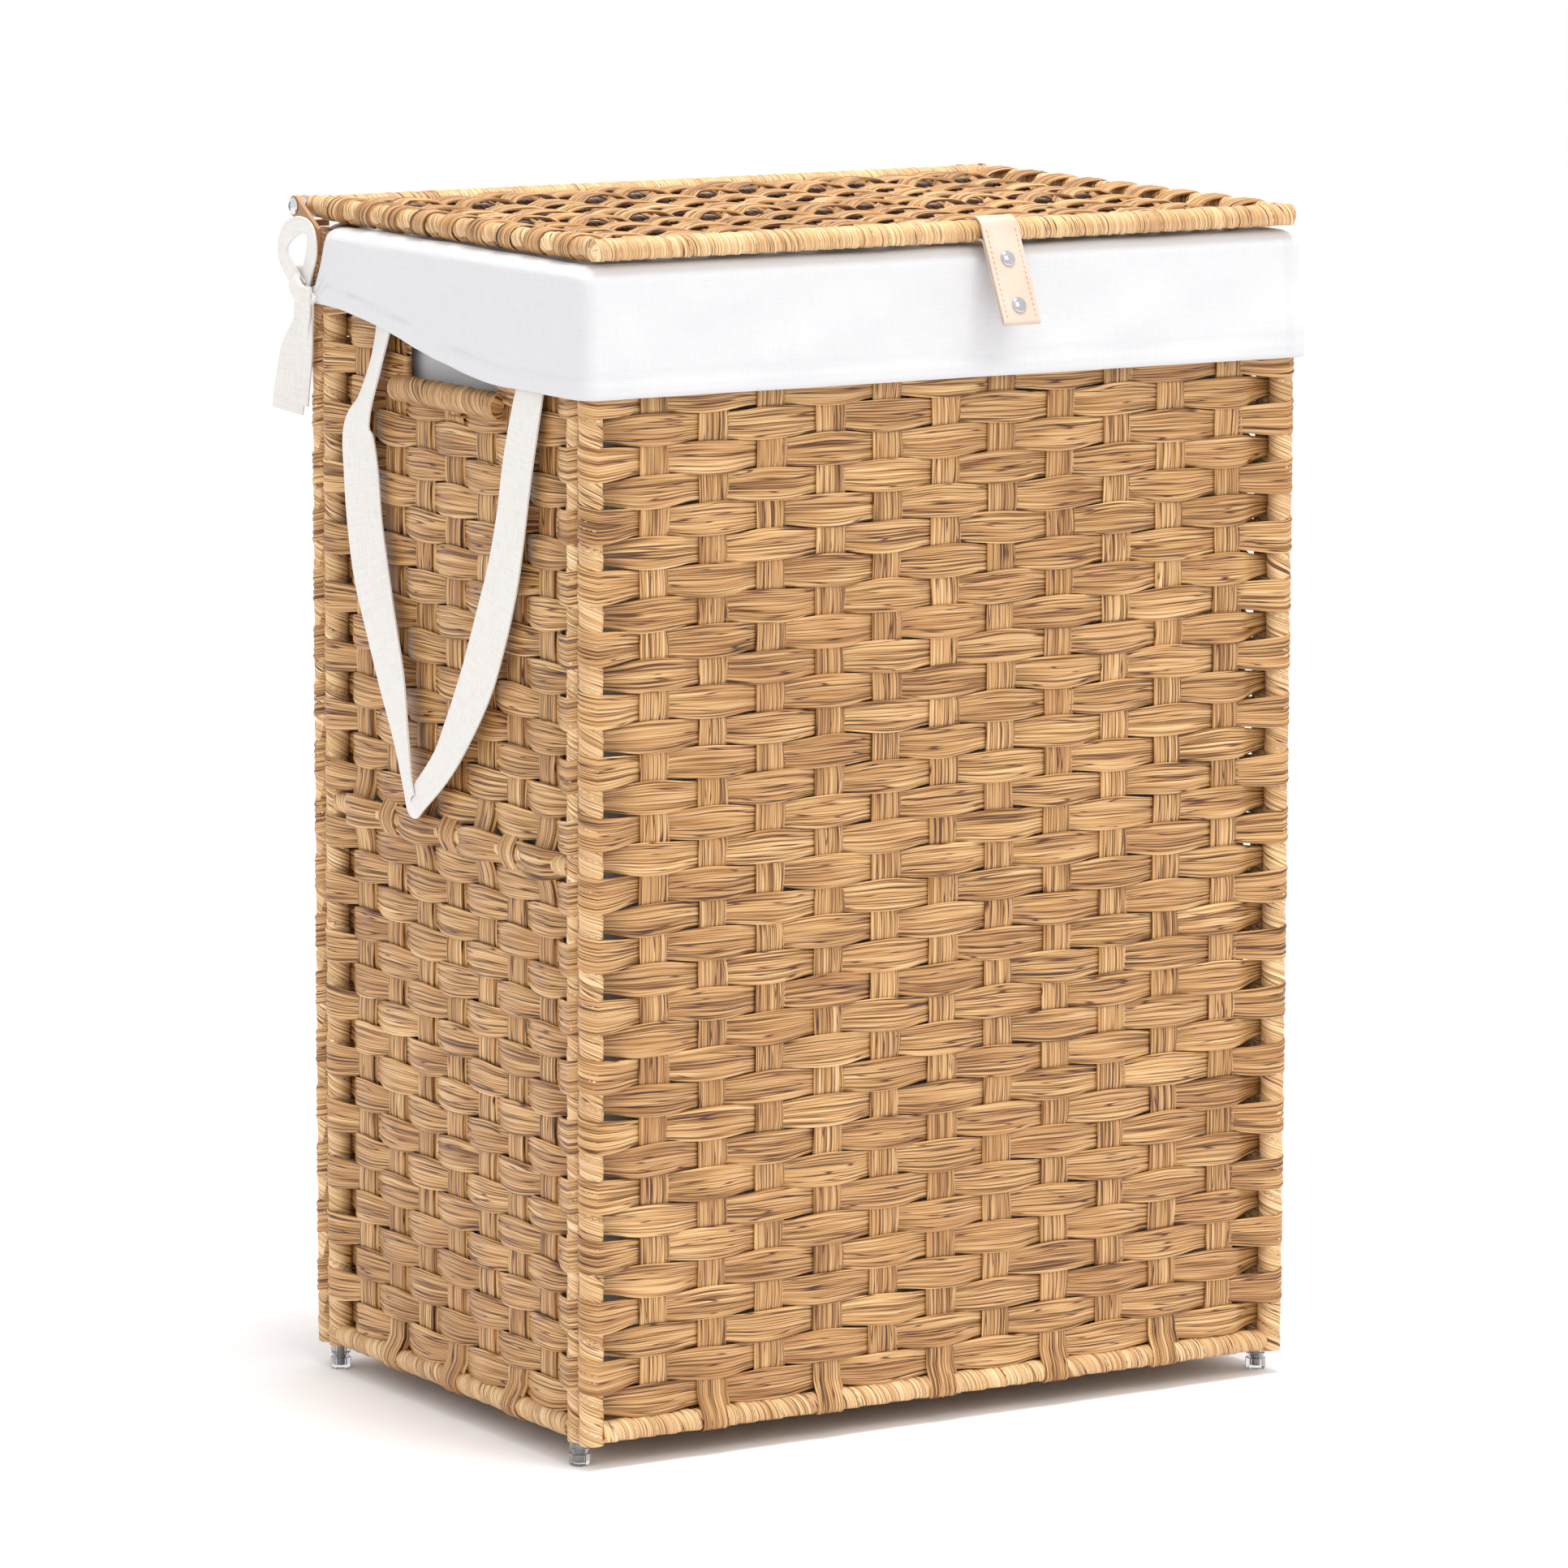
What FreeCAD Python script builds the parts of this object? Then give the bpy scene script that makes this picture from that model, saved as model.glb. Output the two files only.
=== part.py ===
"""Woven laundry hamper: a steel-tube frame woven with flat strand, on four feet, with a hinged woven lid,
a removable cotton liner and two cotton carrying straps.

Millimetres. X is the width, Y the depth with the front at -Y, Z up. The origin is on the floor, under the
middle of the body. Every size is a cell of the sheet "dims", and every sub-part is bound to those cells.
"""

import FreeCAD, Part
import os
import Sketcher

SIZES = [
    ("width", 410, "outer width of the body, over the bound posts"),
    ("depth", 274, "outer depth of the body, over the bound posts"),
    ("wall_height", 568, "lower end of the walls to the top of the rim"),
    ("foot_height", 12, "floor to the lower end of the walls"),
    ("foot_dia", 10.5, "clear foot, across its base"),
    ("foot_neck_dia", 9, "clear foot, under the post"),
    ("foot_stem_dia", 7.4, "stem of the foot, a press fit in the post"),
    ("foot_stem_height", 9, "how far the stem goes up the post"),
    ("foot_screw_dia", 3.2, "screw moulded into the foot"),
    ("foot_screw_inset", 2, "that screw, in from each end of the foot"),
    ("tube_dia", 9, "steel tube of the posts, the base and the lid"),
    ("rail_step", 1, "steel tube of the walls' rails, butted into the posts: how much thinner it is"),
    ("tube_wall", 0.8, "wall of that tube"),
    ("binding", 1.1, "strand wound round a post"),
    ("rail_binding", 1.5, "strand wound round a rail"),
    ("bare_end", 10, "bare tube at the lower end of a post"),
    ("bare_top", 12, "bare tube at the top of a back post, under the hinge plate"),
    ("weave_thick", 3.6, "woven panel, three strands thick"),
    ("stake_width", 15, "upright strand of a woven panel"),
    ("stake_thick", 1.2, "thickness of that strand"),
    ("mid_rail_height", 280, "lower end of the walls to the middle rail of a side wall"),
    ("base_gap", 0.5, "space between the base panel and the walls"),
    ("screw_dia", 3.4, "screws that join the frames"),
    ("screw_bite", 1, "how far a corner screw reaches past the second tube's wall"),
    ("socket_dia", 1.8, "socket in the end of those screws"),
    ("socket_depth", 1.6, "depth of that socket"),
    ("grip_low", 496, "lower end of the walls to the lower edge of a handhold"),
    ("grip_width", 90, "handhold, along the wall"),
    ("grip_height", 38, "handhold, up the wall"),
    ("grip_dia", 9, "bundle of strands under the handhold"),
    ("lid_gap", 4, "rim to the underside of the lid"),
    ("lid_side_inset", 3.5, "lid's side edge, in from the body's side"),
    ("lid_front_reach", 4.1, "lid's front edge, past the body's front"),
    ("pivot_reach", 13.6, "lid's pivot, behind the body's back"),
    ("lid_rear_bar", 10, "lid's rear bar, in front of the pivot"),
    ("lid_tail", 8.3, "lid's side bar, past the pivot"),
    ("lid_bare", 7, "bare tube on the lid's side bar, in front of the pivot"),
    ("plate_thick", 2, "hinge plate"),
    ("plate_width", 10.5, "hinge plate, across"),
    ("plate_drop", 12, "hinge plate, down the outside of the post"),
    ("plate_slant", 32.7, "slope of the hinge plate, in degrees"),
    ("plate_knee_low", 2, "turn of its rear edge, under the post's top"),
    ("plate_knee_high", 1, "turn of its front edge, above the post's top"),
    ("pin_dia", 4, "shank of the hinge screw"),
    ("pin_play", 0.1, "hole in the hinge plate, wider than that shank"),
    ("pin_length", 14, "shank of the hinge screw, under its head"),
    ("head_dia", 8.5, "head of the hinge screw"),
    ("head_thick", 2.4, "thickness of that head"),
    ("head_dome", 5.3, "radius of the dome on that head"),
    ("recess_length", 4.4, "cross recess in that head"),
    ("recess_width", 0.9, "slot of that recess"),
    ("side_play", 0.3, "space each side of the hinge plate"),
    ("stop_width", 4.4, "stop lug on the hinge plate, front to back"),
    ("stop_thick", 3, "stop lug, up and down"),
    ("stop_back", 6.7, "lug's rear face, in front of the pivot"),
    ("stop_drop", 6.6, "lug's top face, under the pivot"),
    ("stop_length", 12, "lug, inwards from the plate"),
    ("cloth", 1.2, "liner cloth"),
    ("cloth_gap", 0.3, "cloth to the frame under it"),
    ("cuff_drop", 61, "liner's cuff, from the rim down"),
    ("cuff_rise", 24, "how far the cuff's lower edge rises at the back"),
    ("cuff_rise_start", 68.5, "where that rise starts, in front of the middle"),
    ("cuff_rise_end", 12, "where that rise ends, in front of the body's back"),
    ("cuff_slit_width", 14, "cuff's slit round a hinge plate, each way from the corner"),
    ("cuff_slit_drop", 32, "depth of that slit"),
    ("bag_floor", 29, "lower end of the walls to the underside of the bag"),
    ("strap_spread", 154, "between the two ends of a carrying strap"),
    ("strap_leg", 26, "strap, across one leg"),
    ("strap_tip", 14, "strap, across its lowest point"),
    ("strap_tip_back", 37, "lowest point of the strap, behind the middle"),
    ("strap_drop", 222, "strap, from its ends to its lowest point"),
    ("strap_top", 506, "lower end of the walls to the ends of the strap"),
    ("strap_thick", 1.5, "strap, both layers"),
    ("strap_gap", 1.3, "cuff to the strap"),
    ("tie_thick", 2.4, "tie tape, two layers"),
    ("tie_width", 15, "tie tape, across"),
    ("tie_knot", 11, "knot in the tie"),
    ("tie_tail", 60, "tie's tails, below the knot"),
    ("tie_loop", 26, "tie's loop, above the knot"),
    ("tie_drop", 31, "rim to the middle of the knot"),
    ("tie_back", 1, "middle of the knot, behind the body"),
    ("tie_tail_back", 3, "loop and tails, behind the middle of the knot"),
    ("tie_gap", 1.2, "cuff to the tie"),
    ("tab_width", 21, "leather tab, across"),
    ("tab_offset", 24, "middle of the tab, right of the lid's middle"),
    ("tab_leather", 1.3, "one layer of its leather"),
    ("tab_play", 0.2, "tab's loop to the bound bar"),
    ("tab_length", 51, "tab, from the middle of the bar down"),
    ("tab_lean", 25, "tab's lean, outwards from straight down"),
    ("tab_notch_play", 1, "tab's loop to the woven lid"),
    ("rivet_dia", 8, "cap of a rivet"),
    ("rivet_height", 1.8, "height of that cap"),
    ("rivet_crown_dia", 4.8, "top of that cap, across"),
    ("rivet_back_dia", 7, "rivet's flat end behind the tab"),
    ("rivet_back_thick", 1, "thickness of that end"),
    ("rivet_bury", 0.5, "shank, into the cap and into that end"),
    ("rivet_upper", 17.5, "upper rivet, from the middle of the bar"),
    ("rivet_lower", 41.5, "lower rivet, from the middle of the bar"),
    ("rivet_shank", 3, "shank through both layers"),
]
FRONT_STAKES = 11
SIDE_STAKES = 7
BASE_STAKES = 11
LID_STAKES = 11
# How far the space that a tool cuts runs past the piece.
OVERRUN = 5

os.makedirs("parts", exist_ok=True)
doc = FreeCAD.newDocument("laundry_hamper")
dims = doc.addObject("Spreadsheet::Sheet", "dims")
for row, (alias, size, meaning) in enumerate(SIZES, start=1):
    dims.set(f"A{row}", alias)
    dims.set(f"B{row}", str(size))
    dims.setAlias(f"B{row}", alias)
    dims.set(f"C{row}", meaning)
doc.recompute()

# Places that several sub-parts share, as expressions in the sheet's sizes.
TUBE_R = "(dims.tube_dia / 2)"
BORE_R = f"({TUBE_R} - dims.tube_wall)"
BOUND_R = f"({TUBE_R} + dims.binding)"
RAIL_TUBE_R = "((dims.tube_dia - dims.rail_step) / 2)"
RAIL_BORE_R = f"({RAIL_TUBE_R} - dims.tube_wall)"
RAIL_R = f"({RAIL_TUBE_R} + dims.rail_binding)"
POST_X = f"(dims.width / 2 - {BOUND_R})"
POST_Y = f"(dims.depth / 2 - {BOUND_R})"
SIDE_POST_Y = f"({POST_Y} - 2 * {BOUND_R})"
RIM_Z = "(dims.foot_height + dims.wall_height)"
LOW_RAIL_Z = f"(dims.foot_height + {BOUND_R})"
TOP_RAIL_Z = f"({RIM_Z} - {BOUND_R})"
MID_RAIL_Z = "(dims.foot_height + dims.mid_rail_height)"
GRIP_Z = "(dims.foot_height + dims.grip_low)"
BASE_X = f"({POST_X} - {BOUND_R} - dims.base_gap - {BOUND_R})"
BASE_Y = f"({POST_Y} - {BOUND_R} - dims.base_gap - {BOUND_R})"
LID_X = f"(dims.width / 2 - dims.lid_side_inset - {BOUND_R})"
LID_Y = f"(-dims.depth / 2 - dims.lid_front_reach + {BOUND_R})"
LID_Z = f"({RIM_Z} + dims.lid_gap + {BOUND_R})"
PIVOT_Y = "(dims.depth / 2 + dims.pivot_reach)"
REAR_BAR_Y = f"({PIVOT_Y} - dims.lid_rear_bar)"
PLATE_X = f"({POST_X} + {TUBE_R})"
CUFF_X = "(dims.width / 2 + dims.cloth_gap + dims.cloth)"
CUFF_Y = "(dims.depth / 2 + dims.cloth_gap + dims.cloth)"
CUFF_TOP = f"({RIM_Z} + dims.cloth_gap + dims.cloth)"
HEM_Z = f"({RIM_Z} - dims.cuff_drop)"
BAG_X = f"({POST_X} - {BOUND_R} - dims.cloth_gap)"
BAG_Y = f"({POST_Y} - 3 * {BOUND_R} - dims.cloth_gap)"
BAG_Z = "(dims.foot_height + dims.bag_floor)"
STRAP_X = f"({CUFF_X} + dims.strap_gap + dims.strap_thick / 2)"
STRAP_Z = "(dims.foot_height + dims.strap_top)"

ALONG = {
    "X": FreeCAD.Rotation(FreeCAD.Vector(0, 1, 0), 90),
    "Y": FreeCAD.Rotation(FreeCAD.Vector(1, 0, 0), -90),
    "Z": FreeCAD.Rotation(),
}
subparts = []


def bind(obj, sizes):
    """Binds each property of obj to its expression."""
    for prop, expression in sizes.items():
        obj.setExpression(prop, expression)
    return obj


def at(obj, x, y, z):
    """Binds the place of obj."""
    return bind(obj, {"Placement.Base.x": x, "Placement.Base.y": y, "Placement.Base.z": z})


def rod(axis, radius, length, x, y, z):
    """A round bar that starts at x, y, z and runs along +axis."""
    bar = doc.addObject("Part::Cylinder", "rod")
    bar.Placement.Rotation = ALONG[axis]
    return at(bind(bar, {"Radius": radius, "Height": length}), x, y, z)


def ball(radius, x, y, z):
    """A sphere about x, y, z."""
    return at(bind(doc.addObject("Part::Sphere", "ball"), {"Radius": radius}), x, y, z)


def block(size_x, size_y, size_z, x, y, z):
    """A box with its middle at x, y and its underside at z."""
    box = doc.addObject("Part::Box", "block")
    bind(box, {"Length": size_x, "Width": size_y, "Height": size_z})
    return at(box, f"{x} - ({size_x}) / 2", f"{y} - ({size_y}) / 2", z)


def fuse(*pieces):
    """One solid of all the pieces."""
    if len(pieces) == 1:
        return pieces[0]
    joined = doc.addObject("Part::MultiFuse", "fuse")
    joined.Shapes = list(pieces)
    return joined


def group(pieces):
    """The pieces side by side, as separate solids."""
    together = doc.addObject("Part::Compound", "group")
    together.Links = list(pieces)
    return together


def cut(base, tool):
    """base without the space of tool."""
    left = doc.addObject("Part::Cut", "cut")
    left.Base = base
    left.Tool = tool
    return left


def plate(points, thick, x):
    """A padded sketch: the outline points (y, z) in the YZ plane, thick along +X from x."""
    body = doc.addObject("PartDesign::Body", "plate")
    sketch = body.newObject("Sketcher::SketchObject", "outline")
    origin_plane = next(f for f in body.Origin.OriginFeatures if f.Role == "YZ_Plane")
    sketch.AttachmentSupport = (origin_plane, [""])
    sketch.MapMode = "FlatFace"
    corners = [
        FreeCAD.Vector(float(dims.evalExpression(y)), float(dims.evalExpression(z)), 0)
        for y, z in points
    ]
    for start, end in zip(corners, corners[1:] + corners[:1]):
        sketch.addGeometry(Part.LineSegment(start, end))
    for line in range(len(points)):
        sketch.addConstraint(Sketcher.Constraint("Coincident", line, 2, (line + 1) % len(points), 1))
    for line, (y, z) in enumerate(points):
        start = corners[line]
        for kind, value, expression in (("DistanceX", start.x, y), ("DistanceY", start.y, z)):
            index = sketch.addConstraint(Sketcher.Constraint(kind, -1, 1, line, 1, value))
            sketch.setExpression(f"Constraints[{index}]", expression)
    pad = body.newObject("PartDesign::Pad", "pad")
    pad.Profile = sketch
    bind(pad, {"Length": thick})
    return bind(body, {"Placement.Base.x": x})


def subpart(name, obj):
    """Names obj as a finished sub-part."""
    obj.Label = name
    subparts.append(obj)
    return obj


def mirrored(side, expression):
    """The expression on the left (-1) or right (+1) side of the body."""
    return f"({side} * {expression})"


# ---- screws that the frames are drilled for

def corner_drill(side, front, z):
    """The hole along Y for a screw through a front or back post into the side wall's post."""
    outer = f"({POST_Y} + {TUBE_R})"
    length = f"({TUBE_R} + 2 * {BOUND_R} - {BORE_R} + dims.screw_bite)"
    start = f"(-{outer})" if front else f"({outer} - {length})"
    return rod("Y", "dims.screw_dia / 2", length, mirrored(side, POST_X), start, z)


def socket(side, front, z):
    """The socket in the outer end of that screw."""
    outer = f"({POST_Y} + {TUBE_R})"
    start = f"(-{outer})" if front else f"({outer} - dims.socket_depth)"
    return rod("Y", "dims.socket_dia / 2", "dims.socket_depth", mirrored(side, POST_X), start, z)


CORNER_SCREW_ZS = ("(dims.foot_height + dims.bare_end / 2)", f"({TOP_RAIL_Z} - dims.bare_top)")
corners = [(side, front, z) for side in (-1, 1) for front in (True, False) for z in CORNER_SCREW_ZS]
corner_drills = group(corner_drill(*corner) for corner in corners)
corner_sockets = group(socket(*corner) for corner in corners)
base_screw_length = f"(2 * {BOUND_R} + dims.base_gap)"
base_screws = group(
    rod("X", "dims.screw_dia / 2", base_screw_length, start, mirrored(end, f"{BASE_Y} / 2"), LOW_RAIL_Z)
    for start in (BASE_X, f"(-{POST_X})")
    for end in (-1, 1)
)
subpart("corner_screws", cut(corner_drills, corner_sockets))
subpart("base_screws", base_screws)


# ---- walls

def wall_bars(radius, rail_radius, post_x, post_y, rails, low, high):
    """Two posts and the rails between them, which start and end at the posts' middles."""
    across = "X" if len(set(post_x)) == 2 else "Y"
    span = {"X": f"({post_x[1]} - {post_x[0]})", "Y": f"({post_y[1]} - {post_y[0]})"}[across]
    bars = [rod("Z", radius, f"({high} - {low})", x, y, low) for x, y in zip(post_x, post_y)]
    bars.extend(rod(across, rail_radius, span, post_x[0], post_y[0], z) for z in rails)
    return fuse(*bars)


def wall_frame(name, post_x, post_y, rails, bare_top, drills):
    """The steel frame of a wall and the strand bound round it."""
    top = f"({TOP_RAIL_Z} + {TUBE_R})"
    solid = wall_bars(TUBE_R, RAIL_TUBE_R, post_x, post_y, rails, "dims.foot_height", top)
    bore = wall_bars(BORE_R, RAIL_BORE_R, post_x, post_y, rails, "dims.foot_height", TOP_RAIL_Z)
    subpart(f"{name}_frame", cut(cut(solid, bore), drills))
    low = "(dims.foot_height + dims.bare_end)"
    wound = wall_bars(BOUND_R, RAIL_R, post_x, post_y, rails, low, f"({top} - {bare_top})")
    core = wall_bars(TUBE_R, RAIL_TUBE_R, post_x, post_y, rails, "dims.foot_height", f"({top} + {OVERRUN})")
    subpart(f"{name}_binding", cut(cut(wound, core), drills))


def panel(name, across, centre, half_span, low, high, count, pitch, opening=None):
    """A woven panel between the bars of a wall, and the upright strands inside it."""
    height = f"({high} - {low})"
    flat = ("dims.stake_width", "dims.stake_thick")
    slab = (f"(2 * {half_span})", "dims.weave_thick")
    if across == "Y":
        flat = flat[::-1]
        slab = slab[::-1]
    stakes = []
    for step in range(count):
        offset = f"({step - (count - 1) / 2} * {pitch})"
        place = {"X": (offset, centre), "Y": (centre, offset)}[across]
        stakes.append(block(*flat, height, *place, low))
    stake_group = group(stakes)
    middle = {"X": ("0", centre), "Y": (centre, "0")}[across]
    weave = cut(block(*slab, height, *middle, low), stake_group)
    if opening:
        weave = cut(weave, opening)
        stake_group = cut(stake_group, opening)
    subpart(f"{name}_weave", weave)
    return stake_group


LEFT_RIGHT_X = (f"(-{POST_X})", POST_X)
WALL_LOW = f"({LOW_RAIL_Z} + {BOUND_R})"
WALL_HIGH = f"({TOP_RAIL_Z} - {BOUND_R})"
FRONT_PITCH = f"(2 * {POST_X} / {FRONT_STAKES + 1})"
SIDE_PITCH = f"(2 * {SIDE_POST_Y} / {SIDE_STAKES + 1})"

for name, sign, bare_top in (("front", -1, "0"), ("back", 1, "dims.bare_top")):
    y = mirrored(sign, POST_Y)
    wall_frame(name, LEFT_RIGHT_X, (y, y), (LOW_RAIL_Z, TOP_RAIL_Z), bare_top, corner_drills)
    half = f"({POST_X} - {BOUND_R})"
    subpart(f"{name}_stakes", panel(name, "X", y, half, WALL_LOW, WALL_HIGH, FRONT_STAKES, FRONT_PITCH))

for name, sign in (("left", -1), ("right", 1)):
    x = mirrored(sign, POST_X)
    rails = (LOW_RAIL_Z, MID_RAIL_Z, TOP_RAIL_Z)
    drills = group([corner_drills, base_screws])
    wall_frame(name, (x, x), (f"(-{SIDE_POST_Y})", SIDE_POST_Y), rails, "0", drills)
    half = f"({SIDE_POST_Y} - {BOUND_R})"
    hole_height = "(dims.grip_height + dims.grip_dia)"
    hole = block("2 * dims.weave_thick", "dims.grip_width", hole_height, x, "0", f"{GRIP_Z} - dims.grip_dia")
    lower = (WALL_LOW, f"({MID_RAIL_Z} - {BOUND_R})")
    upper = (f"({MID_RAIL_Z} + {BOUND_R})", WALL_HIGH)
    low_stakes = panel(f"{name}_lower", "Y", x, half, *lower, SIDE_STAKES, SIDE_PITCH)
    high_stakes = panel(f"{name}_upper", "Y", x, half, *upper, SIDE_STAKES, SIDE_PITCH, hole)
    subpart(f"{name}_lower_stakes", low_stakes)
    subpart(f"{name}_upper_stakes", high_stakes)
    grip_start = ("-dims.grip_width / 2", f"({GRIP_Z} - dims.grip_dia / 2)")
    subpart(f"{name}_grip", rod("Y", "dims.grip_dia / 2", "dims.grip_width", x, *grip_start))


# ---- base panel, a frame of the same tube between the walls' lower rails

def flat_bars(radius, half_x, front_y, back_y, z, trim):
    """Four bars round a rectangle that lies flat, with round corners."""
    bars = []
    for y in (front_y, back_y):
        bars.append(rod("X", radius, f"(2 * ({half_x} - {trim}))", f"-({half_x} - {trim})", y, z))
    for side in (-1, 1):
        bars.append(rod("Y", radius, f"({back_y} - {front_y})", mirrored(side, half_x), front_y, z))
        bars.extend(ball(radius, mirrored(side, half_x), y, z) for y in (front_y, back_y))
    return fuse(*bars)


def flat_panel(name, half_x, front_y, back_y, z, count, pitch, notch=None):
    """A woven panel that lies flat between four bars, and the front-to-back strands inside it."""
    length = f"({back_y} - {front_y} - 2 * {BOUND_R})"
    middle = f"(({back_y} + {front_y}) / 2)"
    under = f"({z} - dims.stake_thick / 2)"
    offsets = [f"({step - (count - 1) / 2} * {pitch})" for step in range(count)]
    stakes = group(
        block("dims.stake_width", length, "dims.stake_thick", offset, middle, under)
        for offset in offsets
    )
    width = f"(2 * ({half_x} - {BOUND_R}))"
    slab = block(width, length, "dims.weave_thick", "0", middle, f"({z} - dims.weave_thick / 2)")
    weave = cut(slab, stakes)
    if notch:
        weave = cut(weave, notch)
        stakes = cut(stakes, notch)
    subpart(f"{name}_weave", weave)
    subpart(f"{name}_stakes", stakes)


base_args = (BASE_X, f"(-{BASE_Y})", BASE_Y, LOW_RAIL_Z)
base_solid = flat_bars(TUBE_R, *base_args, "0")
base_wound = flat_bars(BOUND_R, *base_args, "0")
subpart("base_frame", cut(cut(base_solid, flat_bars(BORE_R, *base_args, "0")), base_screws))
subpart("base_binding", cut(cut(base_wound, flat_bars(TUBE_R, *base_args, "0")), base_screws))
flat_panel("base", *base_args, BASE_STAKES, f"(2 * {BASE_X} / {BASE_STAKES + 1})")


# ---- feet, under the side walls' posts

foot_screws = []
for x_name, side in (("left", -1), ("right", 1)):
    for y_name, end in (("front", -1), ("back", 1)):
        x = mirrored(side, POST_X)
        y = mirrored(end, SIDE_POST_Y)
        stem_height = "(dims.foot_height + dims.foot_stem_height)"
        screw_length = f"{stem_height} - 2 * dims.foot_screw_inset"
        screw = rod("Z", "dims.foot_screw_dia / 2", screw_length, x, y, "dims.foot_screw_inset")
        cone = doc.addObject("Part::Cone", "foot")
        bind(cone, {"Radius1": "dims.foot_dia / 2", "Radius2": "dims.foot_neck_dia / 2"})
        bind(cone, {"Height": "dims.foot_height"})
        stem = rod("Z", "dims.foot_stem_dia / 2", stem_height, x, y, "0")
        foot = fuse(at(cone, x, y, "0"), stem)
        subpart(f"foot_{y_name}_{x_name}", cut(cut(foot, screw), corner_drills))
        foot_screws.append(screw)
subpart("foot_screws", group(foot_screws))


# ---- lid: a frame of the same tube with two side bars that run back to the pivot

def lid_bars(radius, side_end):
    """The lid's front, rear and side bars. side_end is how far back the side bars run."""
    bars = []
    for y in (LID_Y, REAR_BAR_Y):
        bars.append(rod("X", radius, f"(2 * {LID_X})", f"(-{LID_X})", y, LID_Z))
    for side in (-1, 1):
        x = mirrored(side, LID_X)
        bars.append(rod("Y", radius, f"({side_end} - {LID_Y})", x, LID_Y, LID_Z))
        bars.append(ball(radius, x, LID_Y, LID_Z))
    return fuse(*bars)


def hinge_screw(side):
    """A pan-head screw through the hinge plate into the lid's side bar, its cross recess outwards."""
    face = f"({PLATE_X} + dims.plate_thick + dims.side_play)"
    head_start = face if side > 0 else f"(-{face} - dims.head_thick)"
    shank_start = f"({face} - dims.pin_length)" if side > 0 else f"(-{face})"
    head = rod("X", "dims.head_dia / 2", "dims.head_thick", head_start, PIVOT_Y, LID_Z)
    shank = rod("X", "dims.pin_dia / 2", "dims.pin_length", shank_start, PIVOT_Y, LID_Z)
    dome_x = f"({side} * ({face} + dims.head_thick - dims.head_dome))"
    dome = ball("dims.head_dome", dome_x, PIVOT_Y, LID_Z)
    rounded = doc.addObject("Part::MultiCommon", "rounded")
    rounded.Shapes = [head, dome]
    slot_x = f"({side} * ({face} + dims.head_thick))"
    arms = [("dims.recess_length", "dims.recess_width"), ("dims.recess_width", "dims.recess_length")]
    slots = [
        block("dims.head_thick", length, width, slot_x, PIVOT_Y, f"{LID_Z} - ({width}) / 2")
        for length, width in arms
    ]
    return cut(fuse(rounded, shank), fuse(*slots))


hinge_screws = {side: hinge_screw(side) for side in (-1, 1)}
drill = rod("X", "dims.pin_dia / 2", f"(2 * {PLATE_X})", f"-{PLATE_X}", PIVOT_Y, LID_Z)
LID_END = f"({PIVOT_Y} + dims.lid_tail)"
lid_solid = lid_bars(TUBE_R, LID_END)
subpart("lid_frame", cut(cut(lid_solid, lid_bars(BORE_R, LID_END)), drill))
subpart("lid_binding", cut(lid_bars(BOUND_R, f"({PIVOT_Y} - dims.lid_bare)"), lid_bars(TUBE_R, LID_END)))
TAB_R = f"({BOUND_R} + dims.tab_play + dims.tab_leather)"
notch_width = "(dims.tab_width + 2 * dims.tab_notch_play)"
notch_depth = f"(2 * ({TAB_R} + dims.tab_notch_play))"
notch_low = f"{LID_Z} - dims.weave_thick"
tab_notch = block(notch_width, notch_depth, "(2 * dims.weave_thick)", "dims.tab_offset", LID_Y, notch_low)
LID_PITCH = f"(2 * {LID_X} / {LID_STAKES + 1})"
flat_panel("lid", LID_X, LID_Y, REAR_BAR_Y, LID_Z, LID_STAKES, LID_PITCH, tab_notch)

for name, side in (("left", -1), ("right", 1)):
    subpart(f"hinge_screw_{name}", hinge_screws[side])
    gap = f"({PLATE_X} - {LID_X} - {TUBE_R} - dims.side_play)"
    washer_x = f"({LID_X} + {TUBE_R})" if side > 0 else f"(-{LID_X} - {TUBE_R} - {gap})"
    washer = rod("X", "dims.head_dia / 2", gap, washer_x, PIVOT_Y, LID_Z)
    subpart(f"hinge_washer_{name}", cut(washer, drill))

# The plate is a bar from the pivot down and forward to the post, then down the outside of the post.
PLATE_FRONT = f"({POST_Y} - dims.plate_width / 2)"
PLATE_BACK = f"({POST_Y} + dims.plate_width / 2)"
PLATE_LOW = f"({TOP_RAIL_Z} + {TUBE_R} - dims.plate_drop)"
PLATE_KNEE = f"({TOP_RAIL_Z} + {TUBE_R})"
SLANT_Y = "(dims.plate_width / 2 * sin(dims.plate_slant))"
SLANT_Z = "(dims.plate_width / 2 * cos(dims.plate_slant))"
plate_outline = [
    (PLATE_FRONT, PLATE_LOW),
    (PLATE_BACK, PLATE_LOW),
    (PLATE_BACK, f"({PLATE_KNEE} - dims.plate_knee_low)"),
    (f"({PIVOT_Y} + {SLANT_Y})", f"({LID_Z} - {SLANT_Z})"),
    (f"({PIVOT_Y} - {SLANT_Y})", f"({LID_Z} + {SLANT_Z})"),
    (PLATE_FRONT, f"({PLATE_KNEE} + dims.plate_knee_high)"),
]
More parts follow.
